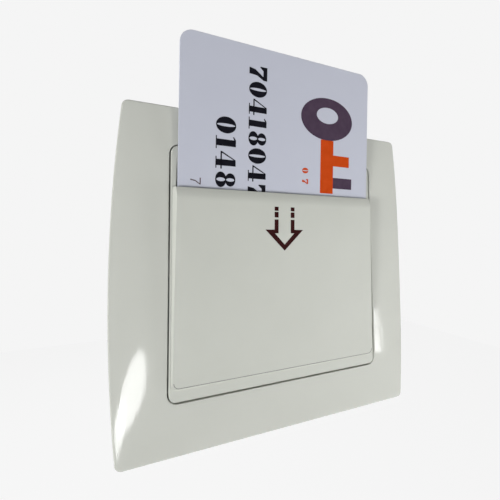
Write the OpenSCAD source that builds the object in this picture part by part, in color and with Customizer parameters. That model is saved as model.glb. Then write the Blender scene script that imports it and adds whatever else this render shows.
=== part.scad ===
// Hotel key card switch for a round flush wall box.
// X runs to the right, Y into the wall and Z up. The origin lies on the wall plane,
// at the middle of the two box screws. All sizes are in millimetres.

/* [Cover frame] */
// Width of the cover frame at its corners
frame_w = 77.4; // [74:0.2:84]
// Height of the cover frame
frame_h = 77.4; // [74:0.2:84]
// How far each side of the frame bows outwards at mid height
side_bow = 2.1; // [1:0.1:4]
// Height of the frame's flat face over the wall
frame_d = 9; // [8.6:0.1:11]
// Thickness of the frame's face
frame_wall = 1.8; // [1.4:0.1:1.9]
// Thickness of the frame's outer rim
rim_wall = 2.4; // [1.6:0.1:3]
// Corner radius of the frame's outline
corner_r = 1.8; // [1:0.1:3]
// Radius along the frame's top and bottom edges
frame_edge_r = 0.7; // [0.5:0.1:1.4]
// How far the frame's centre lies below the middle of its window
frame_drop = 1.2; // [0:0.1:2]
// Distance from the middle to the crest where a flank starts to fall away
crest_x = 31.4; // [30.6:0.1:35]
// Radius of the crest line, seen from the front
crest_r = 130; // [100:1:180]
// Radius with which a flank rolls off behind its crest
flank_r = 60; // [30:1:120]
// Height of the collar behind the frame's window
collar_h = 1.6; // [1:0.1:2.4]
// Length of each clip on the back of the frame
clip_l = 10; // [6:0.5:14]
// Thickness of the two ribs of a clip
clip_t = 1.3; // [1:0.1:1.6]

/* [Centre plate] */
// Side of the square centre plate
plate_w = 57; // [56.7:0.1:58.5]
// Gap between the centre plate and the frame's window
plate_gap = 0.3; // [0.2:0.05:0.6]
// Corner radius of the centre plate
plate_r = 2; // [1:0.1:3]
// Radius along the centre plate's front edges
plate_edge_r = 0.3; // [0.2:0.1:0.7]
// Thickness of the centre plate's upper land
land_t = 1.8; // [1.4:0.1:2]
// Depth of the centre plate's side walls
tray_d = 5.5; // [5:0.1:6]
// Height of the pocket's lip over the middle of the plate
lip_z = 18.8; // [16:0.1:21]
// How far the pocket front stands proud of the plate at the lip
lip_proud = 1.7; // [1.6:0.1:2.6]
// How far the pocket front stands proud of the plate at its foot
foot_proud = 0.5; // [0.3:0.1:0.9]
// Height of the plain margin below the pocket front
foot_margin = 3.1; // [2.4:0.1:4]
// Width of the bevel on each side of the pocket front
side_bevel = 0.8; // [0.5:0.1:1.2]
// Margin between that bevel and the plate's edge
side_margin = 0.5; // [0.3:0.05:0.8]
// Height of the roll along the lip
lip_roll_h = 3; // [2:0.1:4]
// Depth of the roll along the lip
lip_roll_d = 0.6; // [0.3:0.05:0.7]
// Radius of the pocket front's lower corners
pocket_r = 1.6; // [1:0.1:2.4]

/* [Key card] */
// Width of the card
card_w = 53.98; // [53.9:0.02:54.1]
// Length of the card
card_l = 85.6; // [85.4:0.1:85.8]
// Thickness of the card
card_t = 0.76; // [0.68:0.02:0.84]
// Corner radius of the card
card_r = 3.18; // [2.88:0.02:3.48]
// Length of the card that is inside the pocket
card_in = 49.4; // [47:0.1:50]
// Forward lean of the card and of its pocket, in degrees
card_lean = 3.5; // [2.5:0.1:4]
// How far the card's middle plane stands proud of the plate at the lip
card_proud = 0.1; // [0:0.05:0.3]

/* [Card slot] */
// Clearance beside each long edge of the card
slot_side = 0.3; // [0.2:0.05:0.5]
// Clearance in front of the card
slot_front = 0.3; // [0.2:0.05:0.5]
// Clearance behind the card
slot_back = 0.15; // [0.1:0.05:0.3]
// Height over the lip where the slope that leads the card into its slot starts
lead_h = 6; // [5:0.5:8]
// Clearance below the card
slot_floor = 0.15; // [0.1:0.05:0.3]

/* [Card cradle] */
// Wall thickness of the cradle
cradle_wall = 1.5; // [1.2:0.1:1.6]
// Clearance between the cradle and the centre plate
cradle_gap = 0.3; // [0.2:0.05:0.5]
// Thickness of the floor below the card
floor_t = 2.5; // [2:0.1:2.8]
// Height of the cradle's upper edge over the middle
cradle_top = 26.6; // [25.6:0.1:26.8]
// Width of each snap lug
lug_w = 6; // [4:0.5:8]
// Distance of the snap lugs from mid height
lug_z = 9; // [5:0.5:11]
// Distance of the cradle's screws from the middle
cradle_screw_x = 20.4; // [20:0.1:22]
// Height of the cradle's upper screws
cradle_screw_top = 21.5; // [20:0.1:22]
// Depth of the cradle's lower screws below the middle
cradle_screw_low = 20; // [19:0.1:22]

/* [Slider] */
// Width of the slider
slider_w = 14; // [12:0.5:16]
// Thickness of the slider
slider_t = 1.6; // [1.4:0.1:1.8]
// Width of the slider's foot below the card
foot_w = 9; // [8:0.5:10]
// Thickness of the slider's foot
foot_t = 2.4; // [2:0.1:2.8]
// Travel of the slider
slider_travel = 4; // [3:0.1:4.5]
// Running clearance round the slider
slider_gap = 0.25; // [0.2:0.05:0.4]
// Width of the slider's cam
cam_w = 5; // [4:0.5:7]

/* [Return spring] */
// Outer diameter of the return spring
spring_d = 3.2; // [2.8:0.1:3.4]
// Wire diameter of the return spring
spring_wire = 0.45; // [0.3:0.05:0.5]
// Turns of the return spring
spring_turns = 7; // [5:1:8]

/* [Support frame] */
// Width of the steel support frame
support_w = 68; // [66:0.5:70]
// Height of the steel support frame
support_h = 66; // [64:0.5:67]
// Thickness of the steel
support_t = 1.2; // [1:0.1:1.3]
// Spacing of the box screws
box_spacing = 60; // [60:0.1:60.5]
// Width of the slots for the box screws
slot_w = 4.2; // [3.6:0.1:4.6]
// Length of the slots for the box screws
slot_l = 7; // [5.5:0.1:7.5]
// Height of the tabs that hold the cover frame
tab_h = 4; // [3:0.1:4.4]

/* [Claws] */
// Distance of the claw screws from the side of the housing
claw_screw_out = 2; // [1.8:0.1:2.2]
// Distance from a claw's screw to its pin
claw_arm = 3.5; // [3.2:0.1:3.8]
// Width of each claw
claw_w = 8; // [6:0.5:9]
// Thickness of each claw
claw_t = 1.2; // [1:0.1:1.4]
// Length of each claw behind its pin
claw_l = 15; // [12:0.5:17]
// Diameter of the claw pins
claw_pin_d = 2; // [1.6:0.1:2.2]
// Diameter of the claw screws
claw_screw_d = 3; // [2.6:0.1:3.2]

/* [Mechanism housing] */
// Width and height of the housing
housing_w = 40; // [40:0.2:41]
// Depth of the housing behind the wall plane
housing_d = 22; // [22:0.2:26]
// Wall thickness of the housing
housing_wall = 1.6; // [1.4:0.1:1.8]
// Thickness of the rear cover
cover_t = 1.6; // [1.4:0.1:2.4]
// Distance of the housing's rivets from its side
rivet_out = 2.4; // [2.3:0.1:2.7]
// Distance of the housing's rivets from the middle, up and down
rivet_z = 12; // [8:0.5:13]
// Diameter of the rivets
rivet_d = 2.8; // [2.4:0.1:3]
// Distance of the cover screws from the housing's side walls
cover_screw_in = 3.2; // [3:0.1:3.4]
// Distance of the cover screws from the housing's lower wall
cover_screw_up = 3; // [2.8:0.1:3.6]

/* [Switch] */
// Width of the switch case
case_w = 11; // [10:0.5:12]
// Depth of the switch case
case_d = 12.4; // [12.2:0.1:13]
// Wall thickness of the switch case
case_wall = 1.4; // [1.2:0.1:1.5]
// Diameter of the plunger
plunger_d = 3; // [2.6:0.1:3.2]
// Height of the plunger below the middle
plunger_low = 4; // [3.5:0.1:4.5]
// Travel of the plunger
plunger_travel = 1.2; // [0.8:0.1:1.3]
// Diameter of the contact rivets
contact_d = 2.4; // [2:0.1:2.8]
// Thickness of the brass straps
strap_t = 0.8; // [0.6:0.1:0.9]

/* [Terminals] */
// Distance between neighbouring terminals
terminal_pitch = 11; // [10.6:0.1:11.2]
// Width of each clamp
clamp_w = 7.6; // [7:0.1:8]
// Diameter of the wire holes
wire_d = 3.4; // [2.8:0.1:3.4]
// Diameter of the terminal screws
terminal_screw_d = 3; // [2.6:0.1:3.4]

/* [Hidden] */
$fn = 64;

// Colours of the mouldings and metals
SHELL_WHITE = [0.86, 0.87, 0.84];
CARD_WHITE = [0.88, 0.89, 0.93];
BASE_GREY = [0.78, 0.79, 0.78];
CASE_DARK = [0.16, 0.17, 0.19];
STEEL = [0.72, 0.74, 0.76];
BRASS = [0.78, 0.62, 0.30];
PLUNGER_RED = [0.62, 0.14, 0.10];

// Small overlap of joined solids, reach of cutters past a face, facets of large rounds
EPS = 0.01;
PAST = 5;
FINE = 360;

// Clearance between fixed pieces that touch
fit_gap = 0.1;

// The window of the frame, and the walls behind it
window_w = plate_w + 2 * plate_gap;
window_r = plate_r + plate_gap;
bow_r = (pow(frame_h / 2, 2) + pow(side_bow, 2)) / (2 * side_bow);
frame_back = -frame_d + frame_wall;
inner_corner_r = 0.5;
collar_play = 1;
clip_play = 0.8;

// The card's slot
slot_half = card_w / 2 + slot_side;
plate_front = -frame_d;
card_y = plate_front - card_proud;
front_off = card_t / 2 + slot_front;
back_off = card_t / 2 + slot_back;
card_low_z = lip_z - card_in * cos(card_lean) - card_t / 2 * sin(card_lean);
card_low_y = card_y + card_in * sin(card_lean);
function slot_y(z, off) = card_y + off / cos(card_lean) - (z - lip_z) * tan(card_lean);

// The pocket front
pocket_foot = -plate_w / 2 + foot_margin;
pocket_half = plate_w / 2 - side_margin;
land_back = plate_front + land_t;
side_wall = plate_w / 2 - slot_half;
tray_back = plate_front + tray_d;
slot_open = 6;
pocket_root_t = 1;
pocket_root = plate_front + pocket_root_t;

// The cradle
cradle_half = slot_half - cradle_gap;
seat_y = -support_t;
floor_z = card_low_z - slot_floor;
cradle_low = floor_z - floor_t;
shelf_front = frame_back + plate_gap;
guide_top = lip_z - slot_open - plate_gap;
upper_front = land_back + plate_gap;
lug_t = 1;
lug_reach = 0.9;
lug_inset = 1.5;
lug_y = tray_back - lug_inset;
boss_r = 3.2;
cradle_shank = 1.2;
cradle_bore = cradle_shank + fit_gap;
screw_head_r = 2.4;
screw_head_h = 1.3;
head_seat_t = 2;
head_seat = seat_y - head_seat_t;

// The slider
slider_stand = 0.8;
slider_back = seat_y - slider_stand;
slider_front = slider_back - slider_t;
slider_top = -2;
neck_h = 1.2;
neck_top = floor_z + neck_h;
foot_over = 0.3;
foot_front = card_low_y - card_t / 2 - foot_over;
foot_low = floor_z - foot_t;
foot_play = 0.6;
rib_t = 1.5;
rail_lip = 0.9;
rail_lift = 0.5;
rail_start = neck_top + rail_lift;
rail_back = seat_y - fit_gap;

// The return spring and its rest
spring_y = (slider_front + slider_back) / 2;
spring_low = -23.4;
spring_high = -10;
spring_seat = 0.1;
rest_t = 1.6;
rest_over = 0.2;
rest_play = 0.4;
window_play = 0.7;
window_half = spring_d / 2 + window_play;
window_low = spring_low - rest_t - slider_travel - rest_play;
peg_gap = 0.25;
peg_r = spring_d / 2 - spring_wire - peg_gap;
peg_h = 1.6;

// The cam rises with the slope that lifts the plunger over the slider's travel
cam_slope = plunger_travel / slider_travel;
cam_rise = 0.5;
cam_high = seat_y + cam_rise;
cam_past = 0.8;
cam_end = -plunger_low + cam_past;
cam_low = -plunger_low - slider_travel - cam_past;
function cam_y(z) = cam_high + cam_slope * (z + plunger_low);
cam_gap = 0.2;
plunger_tip = cam_high + cam_gap;

// The places of the rivets and of the claws beside the housing
rivet_x = housing_w / 2 + rivet_out;
claw_screw_x = housing_w / 2 + claw_screw_out;
claw_x = claw_screw_x + claw_arm;

// The support frame
support_r = 4;
opening_w = 36;
opening_h = 40;
tab_t = 1.2;
tab_l = clip_l - 1;
tab_room = 0.7;
tab_edge = 1;
clip_gap = 0.2;
tab_x = window_w / 2 + 2 * clip_t + tab_room + clip_gap + tab_t / 2;
tab_z = 18;
rivet_gap = 0.1;
rivet_head_h = 0.8;
rivet_head_r = rivet_d / 2 + rivet_head_h;

// The claws
claw_y = 3.8;
claw_eye_t = 1;
claw_eye_r = claw_pin_d / 2 + claw_eye_t;
claw_heel = claw_arm + claw_screw_d / 2;
claw_barb = 1.8;
claw_tooth = 1.6;
ear_t = 1.2;
ear_gap = 0.3;
pin_over = 0.4;
ear_d = claw_y + claw_eye_r;

// The housing
housing_in = housing_w / 2 - housing_wall;
housing_r = 3;
lug_plate_t = 2;
lug_margin = 0.5;
lug_half = rivet_head_r + lug_margin;
lug_end = rivet_x + lug_half;
cavity_r = 1.6;
partition_t = 1.2;
shelf_t = 1.2;
clamp_front = 5;
clamp_d = 12;
clamp_h = 6.3;
clamp_room = 1.6;
clamp_top = housing_in - clamp_room;
shelf_top = clamp_top - clamp_h;
screw_y = clamp_front + clamp_d / 2;
clamp_back_t = 2;
wire_lift = 1;
wire_z = shelf_top + wire_lift + wire_d / 2;
tube_wall = 1.2;
tube_r = wire_d / 2 + tube_wall;

// The rear cover
cover_back = housing_d + cover_t;
cover_screw_x = housing_in - cover_screw_in;
cover_screw_z = housing_in - cover_screw_up;
cover_shank = 1.1;
cover_bore = cover_shank + fit_gap;
cover_boss_r = 2.6;
cover_lip = 1.5;
cover_lip_t = 1.5;
cover_screw_l = 9;
cover_screw_tip = housing_d - cover_screw_l;
cover_bore_past = 1;
stay_half = 1.2;
stay_low = -8;
stay_high = 2;

// The switch case and its contacts
case_front = housing_wall;
case_back = case_front + case_d;
case_low = -16;
case_high = shelf_top - shelf_t - 3 * fit_gap;
case_in = case_w / 2 - case_wall;
cav_front = case_front + case_wall;
cav_back = case_back - case_wall;
cav_low = case_low + case_wall;
cav_high = case_high - case_wall;
lid_tongue_t = 0.6;
lid_tongue_h = 2;
flange_over = 1;
flange_r = plunger_d / 2 + flange_over;
flange_play = 0.6;
flange_y = cav_front + plunger_travel + flange_play;
flange_t = 0.8;
plunger_nose_r = plunger_d / 4;
blade_t = 0.4;
blade_w = 4;
blade_y = 8;
pivot_z = 3.9;
pivot_y = blade_y + blade_t / 2;
pivot_r = 0.5;
contact_z = -12.4;
contact_h = 0.8;
contact_gap = 0.1;
break_gap = 0.15;
blade_over = 0.3;
blade_low = contact_z - contact_d / 2 - blade_over;
blade_turn = plunger_travel / (pivot_z + plunger_low) * 180 / PI;
contact_swing = (pivot_z - contact_z) * sin(blade_turn);
contact_tilt = contact_d / 2 * sin(blade_turn);
strap_w = 3.2;
strap_low = contact_z - strap_w / 2;
strap_high = contact_z + strap_w / 2;
make_y = blade_y + blade_t + contact_h + contact_gap;
make_back = make_y + contact_h;
break_y = blade_y - contact_h - contact_swing - contact_tilt - break_gap;
common_half = 1.6;
riser_gap = 1.2;
riser_x = cover_screw_x - cover_boss_r - strap_t / 2 - riser_gap;
riser_inset = 0.5;
break_riser_y = clamp_front + riser_inset;
make_riser_y = make_back + strap_t - strap_w;

// The ribs beside the switch case
case_rib_lift = 1;
case_rib_low = strap_high + case_rib_lift;
case_rib_high = 4;
case_rib_short = 4;
case_rib_back = case_back - case_rib_short;

// Sweeps a flat shape drawn in X and Z from y0 to y1
module along_y(y0, y1) {
    translate([0, y1, 0])
        rotate([90, 0, 0])
            linear_extrude(y1 - y0) children();
}

// Sweeps a flat shape drawn in Y and Z from x0 to x1
module along_x(x0, x1) {
    translate([x0, 0, 0])
        rotate([90, 0, 90])
            linear_extrude(x1 - x0) children();
}

// A box between two corners
module box(low, high) {
    translate(low) cube(high - low);
}

// A rod along Y with its axis at x and z
module rod_y(x, z, r, y0, y1) {
    translate([x, y1, z])
        rotate([90, 0, 0])
            cylinder(r = r, h = y1 - y0);
}

// A rod along Z with its axis at x and y
module rod_z(x, y, r, z0, z1) {
    translate([x, y, z0]) cylinder(r = r, h = z1 - z0);
}

// A rectangle with round corners
module rounded_rect(w, h, r) {
    square([w - 2 * r, h], center = true);
    square([w, h - 2 * r], center = true);
    for (sx = [-1, 1], sy = [-1, 1])
        translate([sx * (w / 2 - r), sy * (h / 2 - r)]) circle(r);
}

// Places its children in the card's leaning frame, at the lip, on the card's middle plane
module in_card_frame() {
    translate([0, card_y, lip_z])
        rotate([card_lean, 0, 0]) children();
}

// Repeats its children on both sides of the middle
module both_sides() {
    for (side = [0, 1])
        mirror([side, 0, 0]) children();
}

// Outline of the cover frame: straight top and bottom, bowed sides, round corners
module frame_outline(inset) {
    half_h = frame_h / 2 - inset;
    side_r = bow_r - inset;
    side_c = frame_w / 2 + side_bow - bow_r;
    r = max(corner_r - inset, inner_corner_r);
    zc = half_h - r;
    xc = side_c + sqrt(pow(side_r - r, 2) - zc * zc);
    past = 1 + 2 * r / side_r;
    difference() {
        intersection() {
            translate([side_c, 0]) circle(side_r, $fn = FINE);
            translate([-side_c, 0]) circle(side_r, $fn = FINE);
            square([2 * frame_w, 2 * half_h], center = true);
        }
        for (sx = [0, 1], sz = [0, 1])
            mirror([sx, 0]) mirror([0, sz])
                difference() {
                    polygon([[xc, zc], [xc, half_h + r], [xc + 3 * r, half_h + r],
                        [side_c + (xc - side_c) * past, zc * past]]);
                    translate([xc, zc]) circle(r);
                }
    }
}

// Cutter that lets one flank of the frame roll off behind its curved crest
module flank_cut() {
    reach = frame_w / 2 + 2 * side_bow - crest_x;
    translate([crest_x + crest_r, 0, -frame_drop])
        rotate([90, 0, 0])
            rotate_extrude($fn = FINE)
                difference() {
                    translate([crest_r - reach, frame_d - frame_wall])
                        square([reach, frame_wall + PAST]);
                    translate([crest_r, frame_d - flank_r]) circle(flank_r, $fn = FINE);
                }
}

module cover_frame() {
    color(SHELL_WHITE) {
        difference() {
            translate([0, 0, -frame_drop])
                intersection() {
                    along_y(-frame_d, 0) frame_outline(0);
                    along_x(-frame_w, frame_w) front_rounded(-frame_d, frame_h, frame_edge_r);
                }
            translate([0, 0, -frame_drop])
                along_y(frame_back, PAST) frame_outline(rim_wall);
            along_y(-frame_d - PAST, PAST) rounded_rect(window_w, window_w, window_r);
            both_sides() flank_cut();
        }
        window_collar();
        for (side = [0, 1], z = [-tab_z, tab_z])
            mirror([side, 0, 0]) translate([0, 0, z]) frame_clip();
    }
}

// Section of a plate in Y and Z, with its two front edges rounded
module front_rounded(front, size, r) {
    translate([front + r, -size / 2]) square([PAST - front, size]);
    translate([front, -size / 2 + r]) square([PAST - front, size - 2 * r]);
    for (z = [-size / 2 + r, size / 2 - r])
        translate([front + r, z]) circle(r);
}

// Low collar behind the window, open at the bottom where the cradle passes
module window_collar() {
    collar_w = window_w + 2 * clip_t;
    difference() {
        along_y(frame_back - EPS, frame_back + collar_h)
            difference() {
                rounded_rect(collar_w, collar_w, window_r + clip_t);
                rounded_rect(window_w, window_w, window_r);
            }
        box([-cradle_half - collar_play, frame_back + EPS, -collar_w],
            [cradle_half + collar_play, 0, 0]);
    }
}

// Two ribs that grip a tab of the support frame
module frame_clip() {
    for (x = [tab_x - tab_t / 2 - clip_gap - clip_t, tab_x + tab_t / 2 + clip_gap])
        box([x, frame_back - EPS, -clip_l / 2], [x + clip_t, seat_y - clip_play, clip_l / 2]);
}

module centre_plate() {
    color(SHELL_WHITE)
        difference() {
            union() {
                plate_tray();
                pocket_front();
            }
            along_x(-slot_half, slot_half) plate_hollow();
            both_sides()
                for (z = [-lug_z, lug_z])
                    box([slot_half - EPS, lug_y - lug_t / 2 - fit_gap, z - lug_w / 2 - fit_gap],
                        [plate_w, lug_y + lug_t / 2 + fit_gap, z + lug_w / 2 + fit_gap]);
        }
}

// Hollow of the plate in Y and Z: the lead-in slope, the room behind the land and the leaning slot
module plate_hollow() {
    lead_low = lip_z - slot_open - EPS;
    polygon([[plate_front, lip_z + lead_h], [land_back + EPS, lip_z], [land_back + EPS, lead_low],
        [plate_front, lead_low]]);
    translate([land_back, -plate_w / 2 + side_wall])
        square([PAST - land_back, plate_w - 2 * side_wall]);
    translate([card_y, lip_z])
        rotate(card_lean) {
            translate([-front_off, -card_l]) square([front_off + back_off, 2 * card_l]);
            translate([-front_off, -card_l]) square([front_off + 2 * PAST, card_l - slot_open]);
        }
}

// The square tray of the plate, with all its front edges rounded
module plate_tray() {
    intersection() {
        along_y(plate_front, tray_back) rounded_rect(plate_w, plate_w, plate_r);
        along_x(-plate_w, plate_w) front_rounded(plate_front, plate_w, plate_edge_r);
        rotate([0, 90, 0])
            along_x(-plate_w, plate_w) front_rounded(plate_front, plate_w, plate_edge_r);
    }
}

// The wedge that stands proud of the plate in front of the card
module pocket_front() {
    lip_y = plate_front - lip_proud;
    foot_y = plate_front - foot_proud;
    foot_z = pocket_foot - foot_proud;
    roll_z = lip_z - lip_roll_h;
    roll_r = (pow(lip_roll_h, 2) + pow(lip_roll_d, 2)) / (2 * lip_roll_d);
    face = [foot_y - lip_y, roll_z - pocket_foot] / norm([foot_y - lip_y, roll_z - pocket_foot]);
    intersection() {
        along_x(-pocket_half, pocket_half) {
            polygon([[pocket_root, foot_z], [plate_front, foot_z], [foot_y, pocket_foot],
                [lip_y, roll_z], [pocket_root, roll_z]]);
            intersection() {
                translate([lip_y + roll_r * face[1], roll_z + roll_r * face[0]])
                    circle(roll_r, $fn = FINE);
                translate([lip_y - PAST, roll_z]) square([pocket_root - lip_y + PAST, lip_roll_h]);
            }
        }
        along_y(lip_y - PAST, pocket_root)
            translate([0, foot_z + plate_w])
                rounded_rect(2 * pocket_half, 2 * plate_w, pocket_r);
        translate([0, 0, -plate_w])
            linear_extrude(2 * plate_w)
                polygon([[-pocket_half, pocket_root], [-pocket_half, plate_front],
                    [-pocket_half + side_bevel, lip_y], [pocket_half - side_bevel, lip_y],
                    [pocket_half, plate_front], [pocket_half, pocket_root]]);
    }
}

module key_card() {
    color(CARD_WHITE)
        in_card_frame()
            translate([0, 0, card_l / 2 - card_in])
                along_y(-card_t / 2, card_t / 2) rounded_rect(card_w, card_l, card_r);
}

module card_cradle() {
    color(BASE_GREY)
        difference() {
            union() {
                difference() {
                    along_x(-cradle_half, cradle_half)
                        polygon([[seat_y, cradle_low], [shelf_front, cradle_low],
                            [shelf_front, floor_z], [slot_y(floor_z, back_off), floor_z],
                            [slot_y(guide_top, back_off), guide_top], [upper_front, guide_top],
                            [upper_front, cradle_top], [seat_y, cradle_top]]);
                    along_x(-cradle_half + cradle_wall, cradle_half - cradle_wall)
                        cradle_inside(PAST);
                }
                both_sides() slider_rail();
                spring_rest();
                cradle_bosses();
                both_sides()
                    for (z = [-lug_z, lug_z])
                        box([cradle_half - EPS, lug_y - lug_t / 2, z - lug_w / 2],
                            [cradle_half + lug_reach, lug_y + lug_t / 2, z + lug_w / 2]);
            }
            box([-foot_w / 2 - slider_gap, shelf_front - PAST, cradle_low - PAST],
                [foot_w / 2 + slider_gap, 0, floor_z + slider_travel + foot_play]);
            cradle_screw_places() {
                rod_y(0, 0, cradle_bore, seat_y - PAST, PAST);
                rod_y(0, 0, screw_head_r + 2 * fit_gap, plate_front - PAST, head_seat);
            }
            rivet_places()
                rod_y(0, 0, rivet_head_r + cradle_gap, seat_y - rivet_head_h - cradle_gap, 0);
            both_sides()
                rod_y(claw_screw_x, 0, screw_head_r + cradle_gap, seat_y - screw_head_h - cradle_gap, 0);
        }
}

// Hollow of the cradle in Y and Z, open towards the wall
module cradle_inside(back) {
    guide_low = slot_y(floor_z, back_off) + cradle_wall;
    guide_high = slot_y(guide_top, back_off) + cradle_wall;
    polygon([[back, floor_z], [guide_low, floor_z], [guide_high, guide_top],
        [upper_front + cradle_wall, guide_top],
        [upper_front + cradle_wall, cradle_top - cradle_wall], [back, cradle_top - cradle_wall]]);
}

// Rail beside the slider, with a lip that keeps the slider in
module slider_rail() {
    x0 = slider_w / 2 + slider_gap;
    back = slider_back + slider_gap;
    intersection() {
        along_x(x0, x0 + rib_t) cradle_inside(rail_back);
        box([0, plate_front, rail_start], [slider_w, PAST, slider_top]);
    }
    box([x0 - rail_lip, back, rail_start], [x0 + EPS, rail_back, slider_top]);
}

// Bracket with a peg that carries the lower end of the return spring
module spring_rest() {
    half = spring_d / 2 + rest_over;
    intersection() {
        along_x(-half, half) cradle_inside(rail_back);
        box([-half, plate_front, spring_low - rest_t], [half, PAST, spring_low]);
    }
    rod_z(0, spring_y, peg_r, spring_low - EPS, spring_low + peg_h);
}

// Repeats its children at the four screws of the cradle
module cradle_screw_places() {
    for (x = [-cradle_screw_x, cradle_screw_x], z = [-cradle_screw_low, cradle_screw_top])
        translate([x, 0, z]) children();
}

module cradle_bosses() {
    intersection() {
        cradle_screw_places() rod_y(0, 0, boss_r, plate_front, seat_y);
        along_x(-cradle_half, cradle_half) cradle_inside(seat_y);
    }
}

module cradle_screws() {
    color(STEEL)
        cradle_screw_places() {
            rod_y(0, 0, screw_head_r, head_seat - screw_head_h, head_seat);
            rod_y(0, 0, cradle_shank, head_seat - EPS, 0);
        }
}

module card_slider() {
    color(PLUNGER_RED)
        difference() {
            union() {
                box([-slider_w / 2, slider_front, neck_top],
                    [slider_w / 2, slider_back, slider_top]);
                box([-foot_w / 2, slider_front, foot_low],
                    [foot_w / 2, slider_back, neck_top + EPS]);
                box([-foot_w / 2, foot_front, foot_low], [foot_w / 2, slider_back, floor_z]);
                along_x(-cam_w / 2, cam_w / 2)
                    polygon([[slider_back - EPS, cam_low], [cam_y(cam_low), cam_low],
                        [cam_y(cam_end), cam_end], [cam_y(cam_end), slider_top],
                        [slider_back - EPS, slider_top]]);
            }
            box([-window_half, slider_front - PAST, window_low], [window_half, PAST, spring_high]);
        }
    color(PLUNGER_RED)
        rod_z(0, spring_y, peg_r, spring_high - peg_h, spring_high + EPS);
}

// Wire of the return spring, one unbroken tube of triangles
module return_spring() {
    sides = 6;
    rings_a_turn = 8;
    rings = spring_turns * rings_a_turn;
    coil_r = (spring_d - spring_wire) / 2;
    low = spring_low + spring_wire / 2 + spring_seat;
    high = spring_high - spring_wire / 2 - spring_seat;
    function coil(i, r, lift) =
        let (turn = 360 * i / rings_a_turn)
        [r * cos(turn), spring_y + r * sin(turn), low + (high - low) * i / rings + lift];
    points = [for (i = [0:rings], j = [0:sides - 1])
        let (round = 360 * j / sides)
        coil(i, coil_r + spring_wire / 2 * cos(round), spring_wire / 2 * sin(round))];
    gaps = [for (i = [0:rings - rings_a_turn], k = [rings_a_turn / 2:rings_a_turn])
        norm(coil(i + k, coil_r, 0) - coil(i, coil_r, 0)) - spring_wire];
    echo(least_spring_gap = min(gaps));
    function at(i, j) = i * sides + j % sides;
    skin = [for (i = [0:rings - 1], j = [0:sides - 1], half = [0, 1])
        half == 0 ? [at(i, j), at(i, j + 1), at(i + 1, j + 1)]
            : [at(i, j), at(i + 1, j + 1), at(i + 1, j)]];
    ends = [for (j = [1:sides - 2], last = [0, 1])
        last == 0 ? [at(0, 0), at(0, j + 1), at(0, j)]
            : [at(rings, 0), at(rings, j), at(rings, j + 1)]];
    color(STEEL) polyhedron(points, concat(skin, ends));
}

module support_frame() {
    color(STEEL) {
        along_y(seat_y, 0)
            difference() {
                support_outline();
                rounded_rect(opening_w, opening_h, support_r);
                for (x = [-box_spacing / 2, box_spacing / 2])
                    translate([x, 0]) box_slot();
                for (x = [-rivet_x, rivet_x], z = [-rivet_z, rivet_z])
                    translate([x, z]) circle(rivet_d / 2 + rivet_gap);
                for (x = [-cradle_screw_x, cradle_screw_x])
                    for (z = [-cradle_screw_low, cradle_screw_top])
                        translate([x, z]) circle(cradle_bore);
                for (x = [-claw_screw_x, claw_screw_x])
                    translate([x, 0]) circle(claw_screw_d / 2 + fit_gap);
            }
        both_sides() claw_ears();
        for (side = [0, 1], z = [-tab_z, tab_z])
            mirror([side, 0, 0])
                box([tab_x - tab_t / 2, seat_y - tab_h, z - tab_l / 2],
                    [tab_x + tab_t / 2, seat_y + EPS, z + tab_l / 2]);
    }
}

// Outline of the support frame, which always reaches past the tabs
module support_outline() {
    rounded_rect(support_w, support_h, support_r);
    for (z = [-tab_z, tab_z])
        translate([0, z]) square([2 * (tab_x + tab_edge), tab_l], center = true);
}

// Two ears behind the support frame that carry a claw's pin
module claw_ears() {
    inner = claw_w / 2 + ear_gap;
    difference() {
        for (side = [0, 1])
            mirror([0, 0, side])
                box([claw_x - claw_eye_r, -EPS, inner], [claw_x + claw_eye_r, ear_d, inner + ear_t]);
        rod_z(claw_x, claw_y, claw_pin_d / 2 + fit_gap / 2, -claw_w, claw_w);
    }
}

// Claw of the right side: an eye on its pin, a heel at the screw and a barbed arm
module claw() {
    end = claw_y + claw_l;
    half = claw_w / 2;
    color(STEEL)
        difference() {
            intersection() {
                translate([0, 0, -half])
                    linear_extrude(claw_w) {
                        translate([claw_x, claw_y]) circle(claw_eye_r);
                        translate([claw_x - claw_heel, claw_y - claw_t / 2])
                            square([claw_heel, claw_t]);
                        polygon([[claw_x - claw_t / 2, claw_y], [claw_x + claw_t / 2, claw_y],
                            [claw_x + claw_t / 2, end - 2 * claw_barb],
                            [claw_x + claw_t / 2 + claw_barb, end], [claw_x - claw_t / 2, end]]);
                    }
                along_x(0, 2 * claw_x)
                    polygon([[claw_y - claw_eye_r, -half], [claw_y - claw_eye_r, half],
                        [end - claw_tooth, half], [end, 2 * half / 3], [end - claw_tooth, half / 3],
                        [end, 0], [end - claw_tooth, -half / 3], [end, -2 * half / 3],
                        [end - claw_tooth, -half]]);
            }
            rod_z(claw_x, claw_y, claw_pin_d / 2 + fit_gap / 2, -claw_w, claw_w);
        }
}

module claw_right() {
    claw();
}

module claw_left() {
    mirror([1, 0, 0]) claw();
}

module claw_pins() {
    reach = claw_w / 2 + ear_gap + ear_t + pin_over;
    color(STEEL)
        both_sides() rod_z(claw_x, claw_y, claw_pin_d / 2, -reach, reach);
}

module claw_screws() {
    color(STEEL)
        both_sides() {
            rod_y(claw_screw_x, 0, screw_head_r, seat_y - screw_head_h, seat_y);
            rod_y(claw_screw_x, 0, claw_screw_d / 2, seat_y - EPS, claw_y - claw_t / 2 - 2 * fit_gap);
        }
}

// Slot for one box screw
module box_slot() {
    run = slot_l - slot_w;
    square([run, slot_w], center = true);
    for (x = [-run / 2, run / 2])
        translate([x, 0]) circle(slot_w / 2);
}

// Repeats its children at the four rivets of the housing
module rivet_places() {
    for (x = [-rivet_x, rivet_x], z = [-rivet_z, rivet_z])
        translate([x, 0, z]) children();
}

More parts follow.
